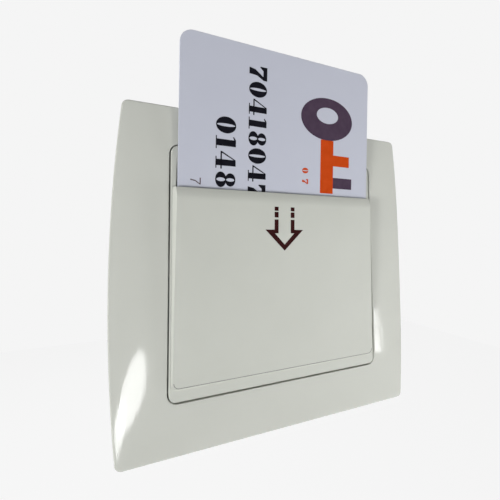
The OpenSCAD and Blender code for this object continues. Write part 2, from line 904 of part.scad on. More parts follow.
module housing_rivets() {
    color(STEEL)
        rivet_places() {
            rod_y(0, 0, rivet_head_r, seat_y - rivet_head_h, seat_y);
            rod_y(0, 0, rivet_d / 2, seat_y - EPS, lug_plate_t + EPS);
            rod_y(0, 0, rivet_head_r, lug_plate_t, lug_plate_t + rivet_head_h);
        }
}

// Repeats its children at the three terminals
module terminal_places() {
    for (i = [-1:1])
        translate([i * terminal_pitch, 0, 0]) children();
}

// Repeats its children at the two screws of the rear cover
module cover_screw_places() {
    for (x = [-cover_screw_x, cover_screw_x])
        translate([x, 0, -cover_screw_z]) children();
}

module mechanism_housing() {
    color(BASE_GREY)
        difference() {
            union() {
                difference() {
                    along_y(0, housing_d) rounded_rect(housing_w, housing_w, housing_r);
                    along_y(housing_wall, housing_d + PAST)
                        rounded_rect(2 * housing_in, 2 * housing_in, cavity_r);
                }
                both_sides()
                    for (z = [-rivet_z, rivet_z])
                        box([housing_in, 0, z - lug_half], [lug_end, lug_plate_t, z + lug_half]);
                housing_inside();
            }
            rod_y(0, -plunger_low, plunger_d / 2 + 3 * fit_gap, -PAST, housing_wall + EPS);
            rivet_places() rod_y(0, 0, rivet_d / 2 + rivet_gap, -PAST, PAST);
            cover_screw_places()
                rod_y(0, 0, cover_bore, cover_screw_tip - cover_bore_past, housing_d + PAST);
            terminal_places()
                rod_z(0, screw_y, screw_head_r + 4 * fit_gap, clamp_top, housing_w);
        }
}

// Shelf and partitions for the terminals, ribs for the switch, bosses for the cover
module housing_inside() {
    back = clamp_front + clamp_d;
    difference() {
        box([-housing_in - EPS, housing_wall - EPS, shelf_top - shelf_t],
            [housing_in + EPS, back, shelf_top]);
        strap_ways();
    }
    for (x = [-terminal_pitch / 2, terminal_pitch / 2])
        box([x - partition_t / 2, housing_wall - EPS, shelf_top - EPS],
            [x + partition_t / 2, back, housing_in + EPS]);
    terminal_places()
        box([-clamp_w / 2, housing_wall - EPS, shelf_top - EPS],
            [clamp_w / 2, clamp_front, clamp_top]);
    both_sides()
        box([case_w / 2 + fit_gap, housing_wall - EPS, case_rib_low],
            [case_w / 2 + fit_gap + partition_t, case_rib_back, case_rib_high]);
    cover_screw_places()
        rod_y(0, 0, cover_boss_r, housing_wall - EPS, housing_d - cover_lip - fit_gap);
}

// Openings in the shelf for the three straps
module strap_ways() {
    gap = 3 * fit_gap;
    low = shelf_top - shelf_t - PAST;
    box([-strap_w / 2 - gap, pivot_y - strap_t / 2 - gap, low],
        [strap_w / 2 + gap, pivot_y + strap_t / 2 + gap, shelf_top + PAST]);
    for (riser = [[-riser_x, break_riser_y], [riser_x, make_riser_y]])
        box([riser[0] - strap_t / 2 - gap, riser[1] - gap, low],
            [riser[0] + strap_t / 2 + gap, riser[1] + strap_w + gap, shelf_top + PAST]);
}

module switch_case() {
    color(CASE_DARK)
        difference() {
            box([-case_w / 2, case_front, case_low], [case_w / 2 - case_wall, case_back, case_high]);
            box([-case_in, cav_front, cav_low], [case_w, cav_back, cav_high]);
            rod_y(0, -plunger_low, plunger_d / 2 + fit_gap, 0, cav_front + EPS);
            box([-strap_w / 2 - fit_gap, pivot_y - strap_t / 2 - fit_gap, cav_high - EPS],
                [strap_w / 2 + fit_gap, pivot_y + strap_t / 2 + fit_gap, case_high + EPS]);
            break_way();
        }
}

// Slot through which the break contact leaves the case
module break_way() {
    box([-case_w, cav_front - fit_gap, strap_low - fit_gap],
        [-case_in + EPS, cav_front + strap_t + fit_gap, strap_high + fit_gap]);
}

module switch_lid() {
    color(CASE_DARK)
        difference() {
            union() {
                box([case_w / 2 - case_wall, case_front, case_low], [case_w / 2, case_back, case_high]);
                box([case_in - lid_tongue_t, cav_front + fit_gap, cav_high - lid_tongue_h],
                    [case_in + EPS, cav_back - fit_gap, cav_high - fit_gap]);
            }
            box([0, make_back - fit_gap, strap_low - fit_gap],
                [case_w, make_back + strap_t + fit_gap, strap_high + fit_gap]);
        }
}

module switch_plunger() {
    color(PLUNGER_RED)
        translate([0, 0, -plunger_low])
            rotate([-90, 0, 0])
                rotate_extrude() plunger_profile();
}

// Half section of the plunger: round tip, stem, flange inside the case and nose at the blade
module plunger_profile() {
    r = plunger_d / 2;
    nose_end = blade_y - 2 * fit_gap;
    intersection() {
        translate([0, plunger_tip + r]) circle(r);
        translate([0, plunger_tip]) square(r);
    }
    translate([0, plunger_tip + r]) square([r, flange_y - plunger_tip - r + EPS]);
    translate([0, flange_y]) square([flange_r, flange_t]);
    translate([0, flange_y]) square([plunger_nose_r, nose_end - flange_y]);
}

module contact_blade() {
    color(BRASS) {
        box([-blade_w / 2, blade_y, blade_low], [blade_w / 2, blade_y + blade_t, pivot_z]);
        along_x(-blade_w / 2, blade_w / 2) translate([pivot_y, pivot_z]) circle(pivot_r);
        rod_y(0, contact_z, contact_d / 2, blade_y - contact_h, blade_y + blade_t + contact_h);
    }
}

module common_contact() {
    seat = pivot_z + pivot_r + fit_gap;
    color(BRASS) {
        box([-strap_w / 2, pivot_y - common_half, seat],
            [strap_w / 2, pivot_y + common_half, seat + strap_t]);
        box([-strap_w / 2, pivot_y - strap_t / 2, seat],
            [strap_w / 2, pivot_y + strap_t / 2, shelf_top]);
    }
}

module make_contact() {
    color(BRASS) {
        rod_y(0, contact_z, contact_d / 2, make_y, make_back + EPS);
        box([-strap_w / 2, make_back, strap_low],
            [riser_x + strap_t / 2, make_back + strap_t, strap_high]);
        box([riser_x - strap_t / 2, make_riser_y, strap_low],
            [riser_x + strap_t / 2, make_back + strap_t, shelf_top]);
    }
}

module break_contact() {
    color(BRASS) {
        rod_y(0, contact_z, contact_d / 2, cav_front, break_y);
        box([-riser_x - strap_t / 2, cav_front, strap_low],
            [strap_w / 2, cav_front + strap_t, strap_high]);
        box([-riser_x - strap_t / 2, cav_front, strap_low],
            [-riser_x + strap_t / 2, break_riser_y + strap_w, strap_high]);
        box([-riser_x - strap_t / 2, break_riser_y, strap_low],
            [-riser_x + strap_t / 2, break_riser_y + strap_w, shelf_top]);
    }
}

module terminal_clamps() {
    color(BRASS)
        terminal_places()
            difference() {
                box([-clamp_w / 2, clamp_front, shelf_top],
                    [clamp_w / 2, clamp_front + clamp_d, clamp_top]);
                rod_y(0, wire_z, wire_d / 2, clamp_front + clamp_back_t,
                    clamp_front + clamp_d + PAST);
                rod_z(0, screw_y, terminal_screw_d / 2 + fit_gap, wire_z, clamp_top + PAST);
            }
}

module terminal_screws() {
    color(STEEL)
        terminal_places() {
            rod_z(0, screw_y, terminal_screw_d / 2, wire_z + wire_d / 2, clamp_top + EPS);
            rod_z(0, screw_y, screw_head_r, clamp_top, clamp_top + screw_head_h);
        }
}

module rear_cover() {
    lip_half = housing_in - fit_gap;
    lip_in = lip_half - cover_lip_t;
    color(BASE_GREY)
        difference() {
            union() {
                along_y(housing_d, cover_back) rounded_rect(housing_w, housing_w, housing_r);
                along_y(housing_d - cover_lip, housing_d + EPS)
                    difference() {
                        rounded_rect(2 * lip_half, 2 * lip_half, cavity_r);
                        rounded_rect(2 * lip_in, 2 * lip_in, cavity_r / 2);
                    }
                cover_screw_places()
                    rod_y(0, 0, cover_boss_r, housing_d - cover_lip, housing_d + EPS);
                terminal_places()
                    rod_y(0, wire_z, tube_r, clamp_front + clamp_d + fit_gap, housing_d + EPS);
                box([-stay_half, case_back + fit_gap, stay_low],
                    [stay_half, housing_d + EPS, stay_high]);
            }
            terminal_places() rod_y(0, wire_z, wire_d / 2, 0, cover_back + PAST);
            cover_screw_places() rod_y(0, 0, cover_bore + fit_gap, 0, cover_back + PAST);
        }
}

module rear_cover_screws() {
    color(STEEL)
        cover_screw_places() {
            rod_y(0, 0, cover_shank, cover_screw_tip, cover_back + EPS);
            rod_y(0, 0, screw_head_r, cover_back, cover_back + screw_head_h);
        }
}

cover_frame();
centre_plate();
key_card();
card_cradle();
cradle_screws();
card_slider();
return_spring();
support_frame();
claw_left();
claw_right();
claw_pins();
claw_screws();
housing_rivets();
mechanism_housing();
switch_case();
switch_lid();
switch_plunger();
contact_blade();
common_contact();
make_contact();
break_contact();
terminal_clamps();
terminal_screws();
rear_cover();
rear_cover_screws();
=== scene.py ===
"""Finished look of the key card switch: gloss mouldings, printed card, steel and brass.

All builders work in millimetres in the part's own frame, with X to the right, Y into
the wall and Z up. A shape is scaled to metres when it becomes a piece.
"""

import logging
import math
from dataclasses import dataclass
from enum import Enum
from typing import Any, Callable, Optional, Sequence

import bmesh
import bpy
from bpy.types import ID, Material, Node, NodeSocket, NodeTree, Object, World
from mathutils import Matrix, Vector


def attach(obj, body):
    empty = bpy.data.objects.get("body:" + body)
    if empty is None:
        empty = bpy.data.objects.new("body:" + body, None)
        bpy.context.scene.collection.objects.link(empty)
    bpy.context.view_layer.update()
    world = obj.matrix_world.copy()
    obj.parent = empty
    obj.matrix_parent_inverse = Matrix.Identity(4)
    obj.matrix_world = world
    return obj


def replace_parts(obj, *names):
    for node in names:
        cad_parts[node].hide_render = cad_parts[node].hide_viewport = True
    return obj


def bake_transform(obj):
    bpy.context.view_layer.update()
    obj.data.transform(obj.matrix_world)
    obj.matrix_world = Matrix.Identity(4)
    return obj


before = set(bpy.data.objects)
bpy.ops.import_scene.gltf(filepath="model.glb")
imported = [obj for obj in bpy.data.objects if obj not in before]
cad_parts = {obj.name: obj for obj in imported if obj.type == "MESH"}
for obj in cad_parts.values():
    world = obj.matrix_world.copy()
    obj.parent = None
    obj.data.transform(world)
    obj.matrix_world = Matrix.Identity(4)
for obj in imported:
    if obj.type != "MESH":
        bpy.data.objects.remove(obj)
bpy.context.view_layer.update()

MM = 0.001
# how far a printed film reaches into its ground, and how far the two kinds stand proud of it
FILM_SUNK = 0.01
FILM_PROUD = 0.012
INK_PROUD = 0.008
log = logging.getLogger("key_card_switch")

Point = tuple[float, float, float]
Flat = tuple[float, float]
Colour = tuple[float, float, float]
Outline = list[Flat]
Place = Callable[[float, float, float], Point]


class Body(Enum):
    """The bodies that the new pieces ride on."""

    BASE = "base"
    CARD = "card"
    SLIDER = "slider"


class Slot(Enum):
    """The material slots of the part's record."""

    SHELL = "shell"
    CARD = "card"
    STEEL = "steel"


class Recess(Enum):
    """The drive that is sunk into a screw's head, as the number of its arms."""

    SLOT = 2
    CROSS = 4


class LampShape(Enum):
    """The outline of a studio lamp."""

    SQUARE = "RECTANGLE"
    OVAL = "ELLIPSE"


def add_node(tree: NodeTree, kind: str, inputs: dict[str | int, Any],
             **settings: str | bool) -> Node:
    """Adds a node to a node tree.

    Args:
        tree: the tree.
        kind: the node's type, without the words that all types share.
        inputs: a constant or a source for each input, by its name or number.
        settings: further settings of the node.

    Returns:
        The new node.
    """
    node = tree.nodes.new("ShaderNode" + kind)
    for name, value in settings.items():
        setattr(node, name, value)
    for key, value in inputs.items():
        if isinstance(value, NodeSocket):
            tree.links.new(value, node.inputs[key])
        else:
            node.inputs[key].default_value = value
    return node


def add_modifier(obj: Object, name: str, kind: str, **settings: Any) -> None:
    """Adds a modifier to a piece.

    Args:
        obj: the piece.
        name: name of the modifier.
        kind: its type.
        settings: its settings.
    """
    modifier = obj.modifiers.new(name, kind)
    for key, value in settings.items():
        setattr(modifier, key, value)


def new_object(name: str, data: ID) -> Object:
    """Puts an object in the scene.

    Args:
        name: name of the object.
        data: its mesh, lamp or camera.

    Returns:
        The new object.
    """
    obj = bpy.data.objects.new(name, data)
    bpy.context.scene.collection.objects.link(obj)
    return obj


def keep_flat(obj: Object) -> Object:
    """Lets the large flats of a piece keep their own shading up to its softened edges."""
    add_modifier(obj, "flat_faces", "WEIGHTED_NORMAL", mode="FACE_AREA", weight=50, keep_sharp=True)
    return obj


def grey(level: float) -> tuple[float, float, float, float]:
    """A full colour of one brightness."""
    return (level, level, level, 1)


def polar(r: float, angle: float) -> Flat:
    """The point at a distance from the middle and an angle in degrees."""
    return (r * math.cos(math.radians(angle)), r * math.sin(math.radians(angle)))


def arc(cx: float, cy: float, r: float, start: float, end: float, steps: int) -> Outline:
    """Points of an arc about (cx, cy) between two angles in degrees, both ends included."""
    points = [polar(r, start + (end - start) * i / steps) for i in range(steps + 1)]
    return [(cx + x, cy + y) for x, y in points]


def ellipse(cx: float, cy: float, rx: float, ry: float, count: int = 40) -> Outline:
    """Points round an ellipse about (cx, cy) with the half sizes rx and ry."""
    turn = [math.tau * i / count for i in range(count)]
    return [(cx + rx * math.cos(a), cy + ry * math.sin(a)) for a in turn]


def oblong(x: float, y: float, far_x: float, far_y: float) -> Outline:
    """The four corners of the oblong between two opposite corners."""
    return [(x, y), (far_x, y), (far_x, far_y), (x, far_y)]


def mirrored(points: Outline) -> Outline:
    """The points on the other side of the middle, in reverse order."""
    return [(-x, y) for x, y in reversed(points)]


def between(start: Flat, end: Flat, share: float) -> Flat:
    """The point at a share of the way from one point to another."""
    return (start[0] + (end[0] - start[0]) * share, start[1] + (end[1] - start[1]) * share)


def line(start: Flat, end: Flat, steps: int) -> Outline:
    """Points in equal steps from one end to the other, with both ends left out."""
    return [between(start, end, i / steps) for i in range(1, steps)]


def round_over(r: float, steps: int) -> list[Flat]:
    """Distances from the side and from the face along a rounded edge, from face to side."""
    turn = [math.radians(90 * k / steps) for k in range(steps + 1)]
    return [(r * (1 - math.sin(a)), r * (1 - math.cos(a))) for a in turn]


class Graph:
    """The node tree of one material, with short calls for the nodes used here."""

    # the range of noise values that is spread, and the colour sockets of a mixing node
    NOISE_LOW, NOISE_HIGH = 0.3, 0.7
    MIX_DEEP, MIX_PALE, MIX_RESULT = 6, 7, 2

    def __init__(self, name: str) -> None:
        """Makes a material with its shader.

        Args:
            name: name of the material.
        """
        self.material = bpy.data.materials.new(name)
        self.material.use_nodes = True
        self.tree = self.material.node_tree
        self.shader = self.tree.nodes["Principled BSDF"]
        self.coordinates = add_node(self.tree, "TexCoord", {}).outputs["Object"]

    def noise(self, size: float, detail: float, stretch: Point = (1, 1, 1)) -> NodeSocket:
        """Adds a noise in object space.

        Args:
            size: size of its patches in millimetres.
            detail: number of finer octaves.
            stretch: factor on the coordinates along each axis.

        Returns:
            The socket of its value.
        """
        mapping = add_node(self.tree, "Mapping", {"Vector": self.coordinates, "Scale": stretch})
        inputs = {"Vector": mapping.outputs["Vector"], "Scale": 1 / (size * MM), "Detail": detail}
        return add_node(self.tree, "TexNoise", inputs).outputs["Fac"]

    def levels(self, value: NodeSocket, low: float, high: float) -> NodeSocket:
        """Spreads a noise value over a range.

        Args:
            value: the noise value.
            low: result for the dark patches.
            high: result for the bright patches.

        Returns:
            The socket of the result.
        """
        inputs = {"Value": value, "From Min": self.NOISE_LOW, "From Max": self.NOISE_HIGH,
                  "To Min": low, "To Max": high}
        return add_node(self.tree, "MapRange", inputs).outputs["Result"]

    def colours(self, value: NodeSocket, deep: Colour, pale: Colour) -> None:
        """Colours the surface in two tones.

        Args:
            value: the noise value that mixes them.
            deep: colour of the dark patches.
            pale: colour of the bright patches.
        """
        inputs = {"Factor": self.levels(value, 0, 1), self.MIX_DEEP: (*deep, 1),
                  self.MIX_PALE: (*pale, 1)}
        mix = add_node(self.tree, "Mix", inputs, data_type="RGBA")
        self.feed("Base Color", mix.outputs[self.MIX_RESULT])

    def feed(self, socket: str, source: NodeSocket) -> None:
        """Links a source to the shader's input of that name."""
        self.tree.links.new(source, self.shader.inputs[socket])

    def relief(self, height: NodeSocket, strength: float, depth: float) -> None:
        """Gives the surface a relief of a depth in millimetres, by the share that shows."""
        inputs = {"Height": height, "Strength": strength, "Distance": depth * MM}
        self.feed("Normal", add_node(self.tree, "Bump", inputs).outputs["Normal"])


@dataclass(frozen=True)
class Finish:
    """What all finishes share: a name and two tones."""

    name: str  # name of the material
    deep: Colour  # colour of the darker patches
    pale: Colour  # colour of the paler patches

    def material(self) -> Material:
        """Makes the material once.

        Returns:
            The material.
        """
        if self.name not in bpy.data.materials:
            self.lay(Graph(self.name))
        return bpy.data.materials[self.name]

    def lay(self, graph: Graph) -> None:
        """Lays out the nodes of the finish."""
        raise NotImplementedError


@dataclass(frozen=True)
class Moulding(Finish):
    """A moulded plastic: colour that drifts a little, uneven gloss and a fine relief."""

    patch: float  # size of the colour patches in millimetres
    gloss: Flat  # lowest and highest roughness
    grain: float  # size of the relief in millimetres
    depth: float  # height of the relief in millimetres
    shine: float = 0.5  # level of the mirror reflection
    stretch: Point = (1, 1, 1)  # factor on the relief's coordinates along each axis

    # octaves of colour, gloss and relief, gloss patches in a colour patch, strength of the relief
    OCTAVES = (3, 4, 2)
    FINER = 3
    STRENGTH = 0.5

    def lay(self, graph: Graph) -> None:
        """Lays out the nodes of the plastic.

        Args:
            graph: the material's nodes.
        """
        colour, gloss, relief = self.OCTAVES
        graph.colours(graph.noise(self.patch, colour), self.deep, self.pale)
        uneven = graph.levels(graph.noise(self.patch / self.FINER, gloss), *self.gloss)
        graph.feed("Roughness", uneven)
        graph.shader.inputs["Specular IOR Level"].default_value = self.shine
        graph.relief(graph.noise(self.grain, relief, self.stretch), self.STRENGTH, self.depth)


@dataclass(frozen=True)
class Metal(Finish):
    """A plated or plain sheet metal with a rolling direction."""

    streak: float  # width of the streaks in millimetres
    stretch: Point  # factor on the coordinates along each axis
    gloss: Flat  # lowest and highest roughness

    # octaves of streaks and gloss, streaks in a gloss patch, strength and height of the relief
    OCTAVES = (4, 3)
    COARSER = 4
    STRENGTH, DEPTH = 0.3, 0.01

    def lay(self, graph: Graph) -> None:
        """Lays out the nodes of the metal.

        Args:
            graph: the material's nodes.
        """
        fine, gloss = self.OCTAVES
        streaks = graph.noise(self.streak, fine, self.stretch)
        graph.colours(streaks, self.deep, self.pale)
        uneven = graph.levels(graph.noise(self.streak * self.COARSER, gloss), *self.gloss)
        graph.feed("Roughness", uneven)
        graph.shader.inputs["Metallic"].default_value = 1
        graph.relief(streaks, self.STRENGTH, self.DEPTH)


def ink(name: str, deep: Colour, pale: Colour, gloss: Flat = (0.28, 0.4)) -> Moulding:
    """A printing ink with little shine, by its name, two tones and roughness."""
    return Moulding(name, deep, pale, patch=2, gloss=gloss, grain=0.2, depth=0.002, shine=0.03)


GLOSS_SHELL = Moulding("gloss_shell", (0.548, 0.56, 0.512), (0.566, 0.578, 0.53), patch=14,
                       gloss=(0.06, 0.09), grain=0.7, depth=0.016, stretch=(1, 1, 0.12))
SATIN_SHELL = Moulding("satin_shell", (0.522, 0.535, 0.488), (0.541, 0.554, 0.507), patch=14,
                       gloss=(0.5, 0.56), grain=0.4, depth=0.003)
LAMINATE = Moulding("laminate", (0.5, 0.518, 0.597), (0.51, 0.528, 0.607), patch=9,
                    gloss=(0.3, 0.36), grain=0.3, depth=0.001)
CRADLE_GREY = Moulding("cradle_grey", (0.4, 0.41, 0.4), (0.45, 0.46, 0.45), patch=6,
                       gloss=(0.42, 0.55), grain=0.25, depth=0.02)
HOUSING_GREY = Moulding("housing_grey", (0.5, 0.51, 0.49), (0.56, 0.57, 0.55), patch=6,
                        gloss=(0.42, 0.55), grain=0.25, depth=0.02)
CASE_DARK = Moulding("case_dark", (0.028, 0.029, 0.034), (0.04, 0.042, 0.048), patch=4,
                     gloss=(0.35, 0.5), grain=0.2, depth=0.02)
PLUNGER_RED = Moulding("plunger_red", (0.3, 0.028, 0.018), (0.36, 0.036, 0.024), patch=3,
                       gloss=(0.3, 0.42), grain=0.2, depth=0.01)
# painted shade: a dark grey that stands in for the shadow in the crease at the pocket's foot
PAINTED_SHADE_GREY = Moulding("painted_crease_shade", (0.2, 0.205, 0.19), (0.25, 0.255, 0.24), patch=3,
                       gloss=(0.5, 0.6), grain=0.3, depth=0.002, shine=0.2)
ZINC = Metal("zinc", (0.5, 0.52, 0.55), (0.68, 0.7, 0.72), streak=0.5,
             stretch=(1, 1, 0.08), gloss=(0.26, 0.42))
SPRING_STEEL = Metal("spring_steel", (0.42, 0.43, 0.45), (0.58, 0.59, 0.6), streak=0.3,
                     stretch=(1, 1, 1), gloss=(0.22, 0.34))
BRASS = Metal("brass", (0.62, 0.42, 0.14), (0.74, 0.54, 0.22), streak=0.5,
              stretch=(1, 1, 0.1), gloss=(0.24, 0.38))
INK_BLACK = ink("ink_black", (0.005, 0.005, 0.008), (0.009, 0.009, 0.014))
INK_ORANGE = ink("ink_orange", (0.5, 0.056, 0.006), (0.56, 0.068, 0.01))
INK_VIOLET = ink("ink_violet", (0.062, 0.04, 0.066), (0.076, 0.05, 0.08))
INK_MAUVE = ink("ink_mauve", (0.09, 0.065, 0.075), (0.105, 0.075, 0.085))
INK_MAROON = ink("ink_maroon", (0.03, 0.006, 0.006), (0.04, 0.01, 0.01), gloss=(0.3, 0.42))


class Shape:
    """Points in millimetres and faces, collected until they become one piece."""

    def __init__(self) -> None:
        """Starts an empty shape."""
        self.points: list[Point] = []
        self.faces: list[tuple[int, ...]] = []

    def loft(self, rings: Sequence[Sequence[Point]], endless: bool = False) -> None:
        """Joins a row of rings to one closed skin.

        Args:
            rings: the rings, with equal numbers of points.
            endless: whether the last ring joins the first one, or else both get a face.
        """
        numbers = []
        for ring in rings:
            numbers.append(range(len(self.points), len(self.points) + len(ring)))
            self.points.extend(ring)
        for first, second in zip(numbers, numbers[1:] + (numbers[:1] if endless else [])):
            for i in range(len(first)):
                j = (i + 1) % len(first)
                self.faces.append((first[i], first[j], second[j], second[i]))
        if not endless:
            self.faces += [tuple(reversed(numbers[0])), tuple(numbers[-1])]

    def slab(self, outline: Outline, place: Place, low: float, high: float) -> None:
        """Raises an outline from a low to a high level, where place gives the points."""
        self.loft([[place(a, b, h) for a, b in outline] for h in (low, high)])

    def band(self, outer: Outline, inner: Outline, place: Place, low: float, high: float) -> None:
        """Raises the room between two outlines of equal length in the same way."""
        edges = [(outer, low), (outer, high), (inner, high), (inner, low)]
        self.loft([[place(a, b, h) for a, b in edge] for edge, h in edges], endless=True)

    def piece(self, name: str, finish: Finish, slot: Slot, body: Optional[Body],
              crease: float = 35) -> Object:
        """Makes the piece.

        Args:
            name: name of the piece.
            finish: its finish.
            slot: its slot in the record; not used.
            body: the body that it rides on, or None to leave it on none.
            crease: angle in degrees from which an edge stays sharp.

        Returns:
            The new object.
        """
        mesh = bpy.data.meshes.new(name)
        mesh.from_pydata([[c * MM for c in p] for p in self.points], [], self.faces)
        grid = bmesh.new()
        grid.from_mesh(mesh)
        bmesh.ops.recalc_face_normals(grid, faces=grid.faces)
        grid.to_mesh(mesh)
        grid.free()
        for face in mesh.polygons:
            face.use_smooth = True
        mesh.set_sharp_from_angle(angle=math.radians(crease))
        mesh.materials.append(finish.material())
        obj = new_object(name, mesh)
        if body is not None:
            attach(obj, body.value)
        return obj


@dataclass
class CoverFrame:
    """The gloss surround with straight top and bottom, bowed sides and rolled flanks."""

    half: float = 38.7  # half of its width at the corners, and of its height
    bow: float = 2.1  # how far each side bows out at mid height
    drop: float = 1.2  # how far its centre lies below the middle of the window
    depth: float = 9.0  # height of the face over the wall
    wall: float = 1.8  # thickness of the face
    rim: float = 2.4  # thickness of the outer rim
    corner: float = 1.5  # corner radius of the outline
    edge: float = 0.4  # radius along the front edge of the outline
    # inset and depth of the steps round the rim's outer foot
    foot: tuple[Flat, ...] = ((0, -0.3), (0.1, -0.09), (0.3, 0))
    inner_foot: float = 0.2  # width of the broken edge at the rim's inner foot
    inner_corner: float = 0.5  # corner radius inside the rim
    fillet: float = 0.4  # width of the fillet between the rim and the face
    window: float = 28.8  # half of the window's side
    window_corner: float = 2.3  # corner radius of the window
    window_edge: float = 0.1  # radius along the window's front edge
    crest_x: float = 31.4  # distance from the middle to the crest of a flank
    crest_r: float = 130.0  # radius of the crest line, seen from the front
    flank_r: float = 60.0  # radius with which a flank rolls off
    root: float = 0.2  # how far the collar and the ribs reach into the face
    collar: float = 1.3  # thickness of the collar behind the window
    collar_h: float = 1.6  # height of that collar
    collar_open: float = 28.0  # half of the gap in the collar's lower side
    clip_x: tuple[float, float] = (30.8, 33.7)  # inner faces of the two clip ribs
    clip_t: float = 1.3  # thickness of a clip rib
    clip_l: float = 10.0  # length of a clip rib
    clip_z: float = 18.0  # height of the clips over the middle
    clip_back: float = -2.0  # where a clip rib ends
    clip_lead: Flat = (0.4, 0.35)  # length and inset of a clip rib's narrowed end

    # steps in a corner, along a side, across the face and in the two front edges
    BEND, SIDE, FACE, EDGE, WINDOW_EDGE = 8, 36, 24, 8, 4

    def back(self) -> float:
        """Depth of the face's back."""
        return -self.depth + self.wall

    def face_y(self, x: float, z: float) -> float:
        """Depth of the front face, with the flanks rolled off.

        Args:
            x: place across.
            z: place upwards.

        Returns:
            The depth there.
        """
        centre = self.crest_x + self.crest_r
        s = self.crest_r - math.hypot(centre - abs(x), z + self.drop)
        roll = self.flank_r - math.sqrt(self.flank_r**2 - s * s) if s > 0 else 0
        return -self.depth + roll

    def outline(self, inset: float, corner: float) -> Outline:
        """The frame's outline moved inwards.

        Args:
            inset: how far it is moved.
            corner: its corner radius there.

        Returns:
            The ring in X and Z, from the upper right corner over the right side.
        """
        bow_r = (self.half**2 + self.bow**2) / (2 * self.bow)
        side_c = self.half + self.bow - bow_r
        zc = self.half - inset - corner
        xc = side_c + math.sqrt((bow_r - inset - corner) ** 2 - zc * zc)
        lean = math.degrees(math.atan2(zc, xc - side_c))
        side = arc(side_c, 0, bow_r - inset, lean, -lean, self.SIDE)[1:-1]
        upper = arc(xc, zc, corner, 90, lean, self.BEND)
        lower = [(x, -z) for x, z in reversed(upper)]
        left_lower, left_upper = mirrored(lower), mirrored(upper)
        ring = (upper + side + lower + line(lower[-1], left_lower[0], self.SIDE)
                + left_lower + mirrored(side)
                + left_upper + line(left_upper[-1], upper[0], self.SIDE))
        return [(x, z - self.drop) for x, z in ring]

    def opening(self, grow: float) -> Outline:
        """The window's ring, with as many points as the outline.

        Args:
            grow: how far it is moved outwards.

        Returns:
            The ring in X and Z, from the upper right corner over the right side.
        """
        r = self.window_corner + grow
        c = self.window + grow - r
        middles = [(c, c, 90), (c, -c, 0), (-c, -c, -90), (-c, c, -180)]
        corners = [arc(x, z, r, a, a - 90, self.BEND) for x, z, a in middles]
        ring: Outline = []
        for bend, following in zip(corners, corners[1:] + corners[:1]):
            ring += bend + line(bend[-1], following[0], self.SIDE)
        return ring

    def rings(self) -> list[list[Point]]:
        """Lays out the rings of the skin.

        Returns:
            The rings, from the window's back over the face to the rim and its inside.
        """
        back, rim = self.back(), self.rim
        found = [[(x, back, z) for x, z in self.opening(0)]]
        for grow, sink in reversed(round_over(self.window_edge, self.WINDOW_EDGE)):
            found.append([(x, self.face_y(x, z) + sink, z) for x, z in self.opening(grow)])
        first = self.opening(self.window_edge)
        last = self.outline(self.edge, self.corner - self.edge)
        for k in range(1, self.FACE + 1):
            middle = [between(a, b, k / self.FACE) for a, b in zip(first, last)]
            found.append([(x, self.face_y(x, z), z) for x, z in middle])
        for inset, sink in round_over(self.edge, self.EDGE)[1:]:
            edge = self.outline(inset, self.corner - inset)
            found.append([(x, self.face_y(*p) + sink, z) for (x, z), p in zip(edge, last)])
        for inset, y in self.foot:
            found.append([(x, y, z) for x, z in self.outline(inset, self.corner - inset)])
        for inset, y in ((rim - self.inner_foot, 0), (rim, -self.inner_foot),
                         (rim, back + self.fillet), (rim + self.fillet, back)):
            found.append([(x, y, z) for x, z in self.outline(inset, self.inner_corner)])
        return found

    def build(self) -> Object:
        """Builds the frame with its collar and clips.

        Returns:
            The finished piece.
        """
        shape = Shape()
        shape.loft(self.rings(), endless=True)
        self._add_collar(shape)
        self._add_clips(shape)
        obj = shape.piece("cover_frame_skin", GLOSS_SHELL, Slot.SHELL, Body.BASE)
        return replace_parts(obj, "cover_frame")

    def _add_collar(self, shape: Shape) -> None:
        """Adds the collar behind the window, open in the middle of its lower side.

        Args:
            shape: the shape that takes it.
        """
        low, high = self.back() - self.root, self.back() + self.collar_h
        walls = list(zip(self.opening(0), self.opening(self.collar)))
        kept = [not (abs(x) < self.collar_open and z < 0) for _, (x, z) in walls]
        start = next(i for i in range(len(kept)) if kept[i] and not kept[i - 1])
        order = [(start + i) % len(walls) for i in range(len(walls))]
        shape.loft([[(xi, low, zi), (xi, high, zi), (xo, high, zo), (xo, low, zo)]
                    for (xi, zi), (xo, zo) in (walls[i] for i in order if kept[i])])

    def _add_clips(self, shape: Shape) -> None:
        """Adds the ribs that grip the tabs of the support frame.

        Args:
            shape: the shape that takes them.
        """
        wide, tall = self.clip_t / 2, self.clip_l / 2
        lead, inset = self.clip_lead
        sizes = ((wide, tall, self.back() - self.root), (wide, tall, self.clip_back - lead),
                 (wide - inset, tall - inset, self.clip_back))
        places = [(side * (x + wide), z) for side in (-1, 1) for z in (-self.clip_z, self.clip_z)
                  for x in self.clip_x]
        for cx, cz in places:
            shape.loft([[(x, y, z) for x, z in oblong(cx - w, cz - h, cx + w, cz + h)]
                        for w, h, y in sizes])


@dataclass
class PocketFace:
    """The plane of the pocket front, between its roll and its foot."""

    edge: Flat = (-10.7, 15.8)  # depth and height of the face's upper edge
    foot: Flat = (-9.5, -25.4)  # depth and height of the face's lower edge

    def length(self) -> float:
        """Length of the face from its upper to its lower edge."""
        return math.dist(self.edge, self.foot)

    def place(self, x: float, d: float, h: float) -> Point:
        """Finds a point on or near the face.

        Args:
            x: place across.
            d: distance down from the face's upper edge.
            h: height over the face.

        Returns:
            The point.
        """
        dy = (self.foot[0] - self.edge[0]) / self.length()
        dz = (self.foot[1] - self.edge[1]) / self.length()
        return (x, self.edge[0] + d * dy + h * dz, self.edge[1] + d * dz - h * dy)


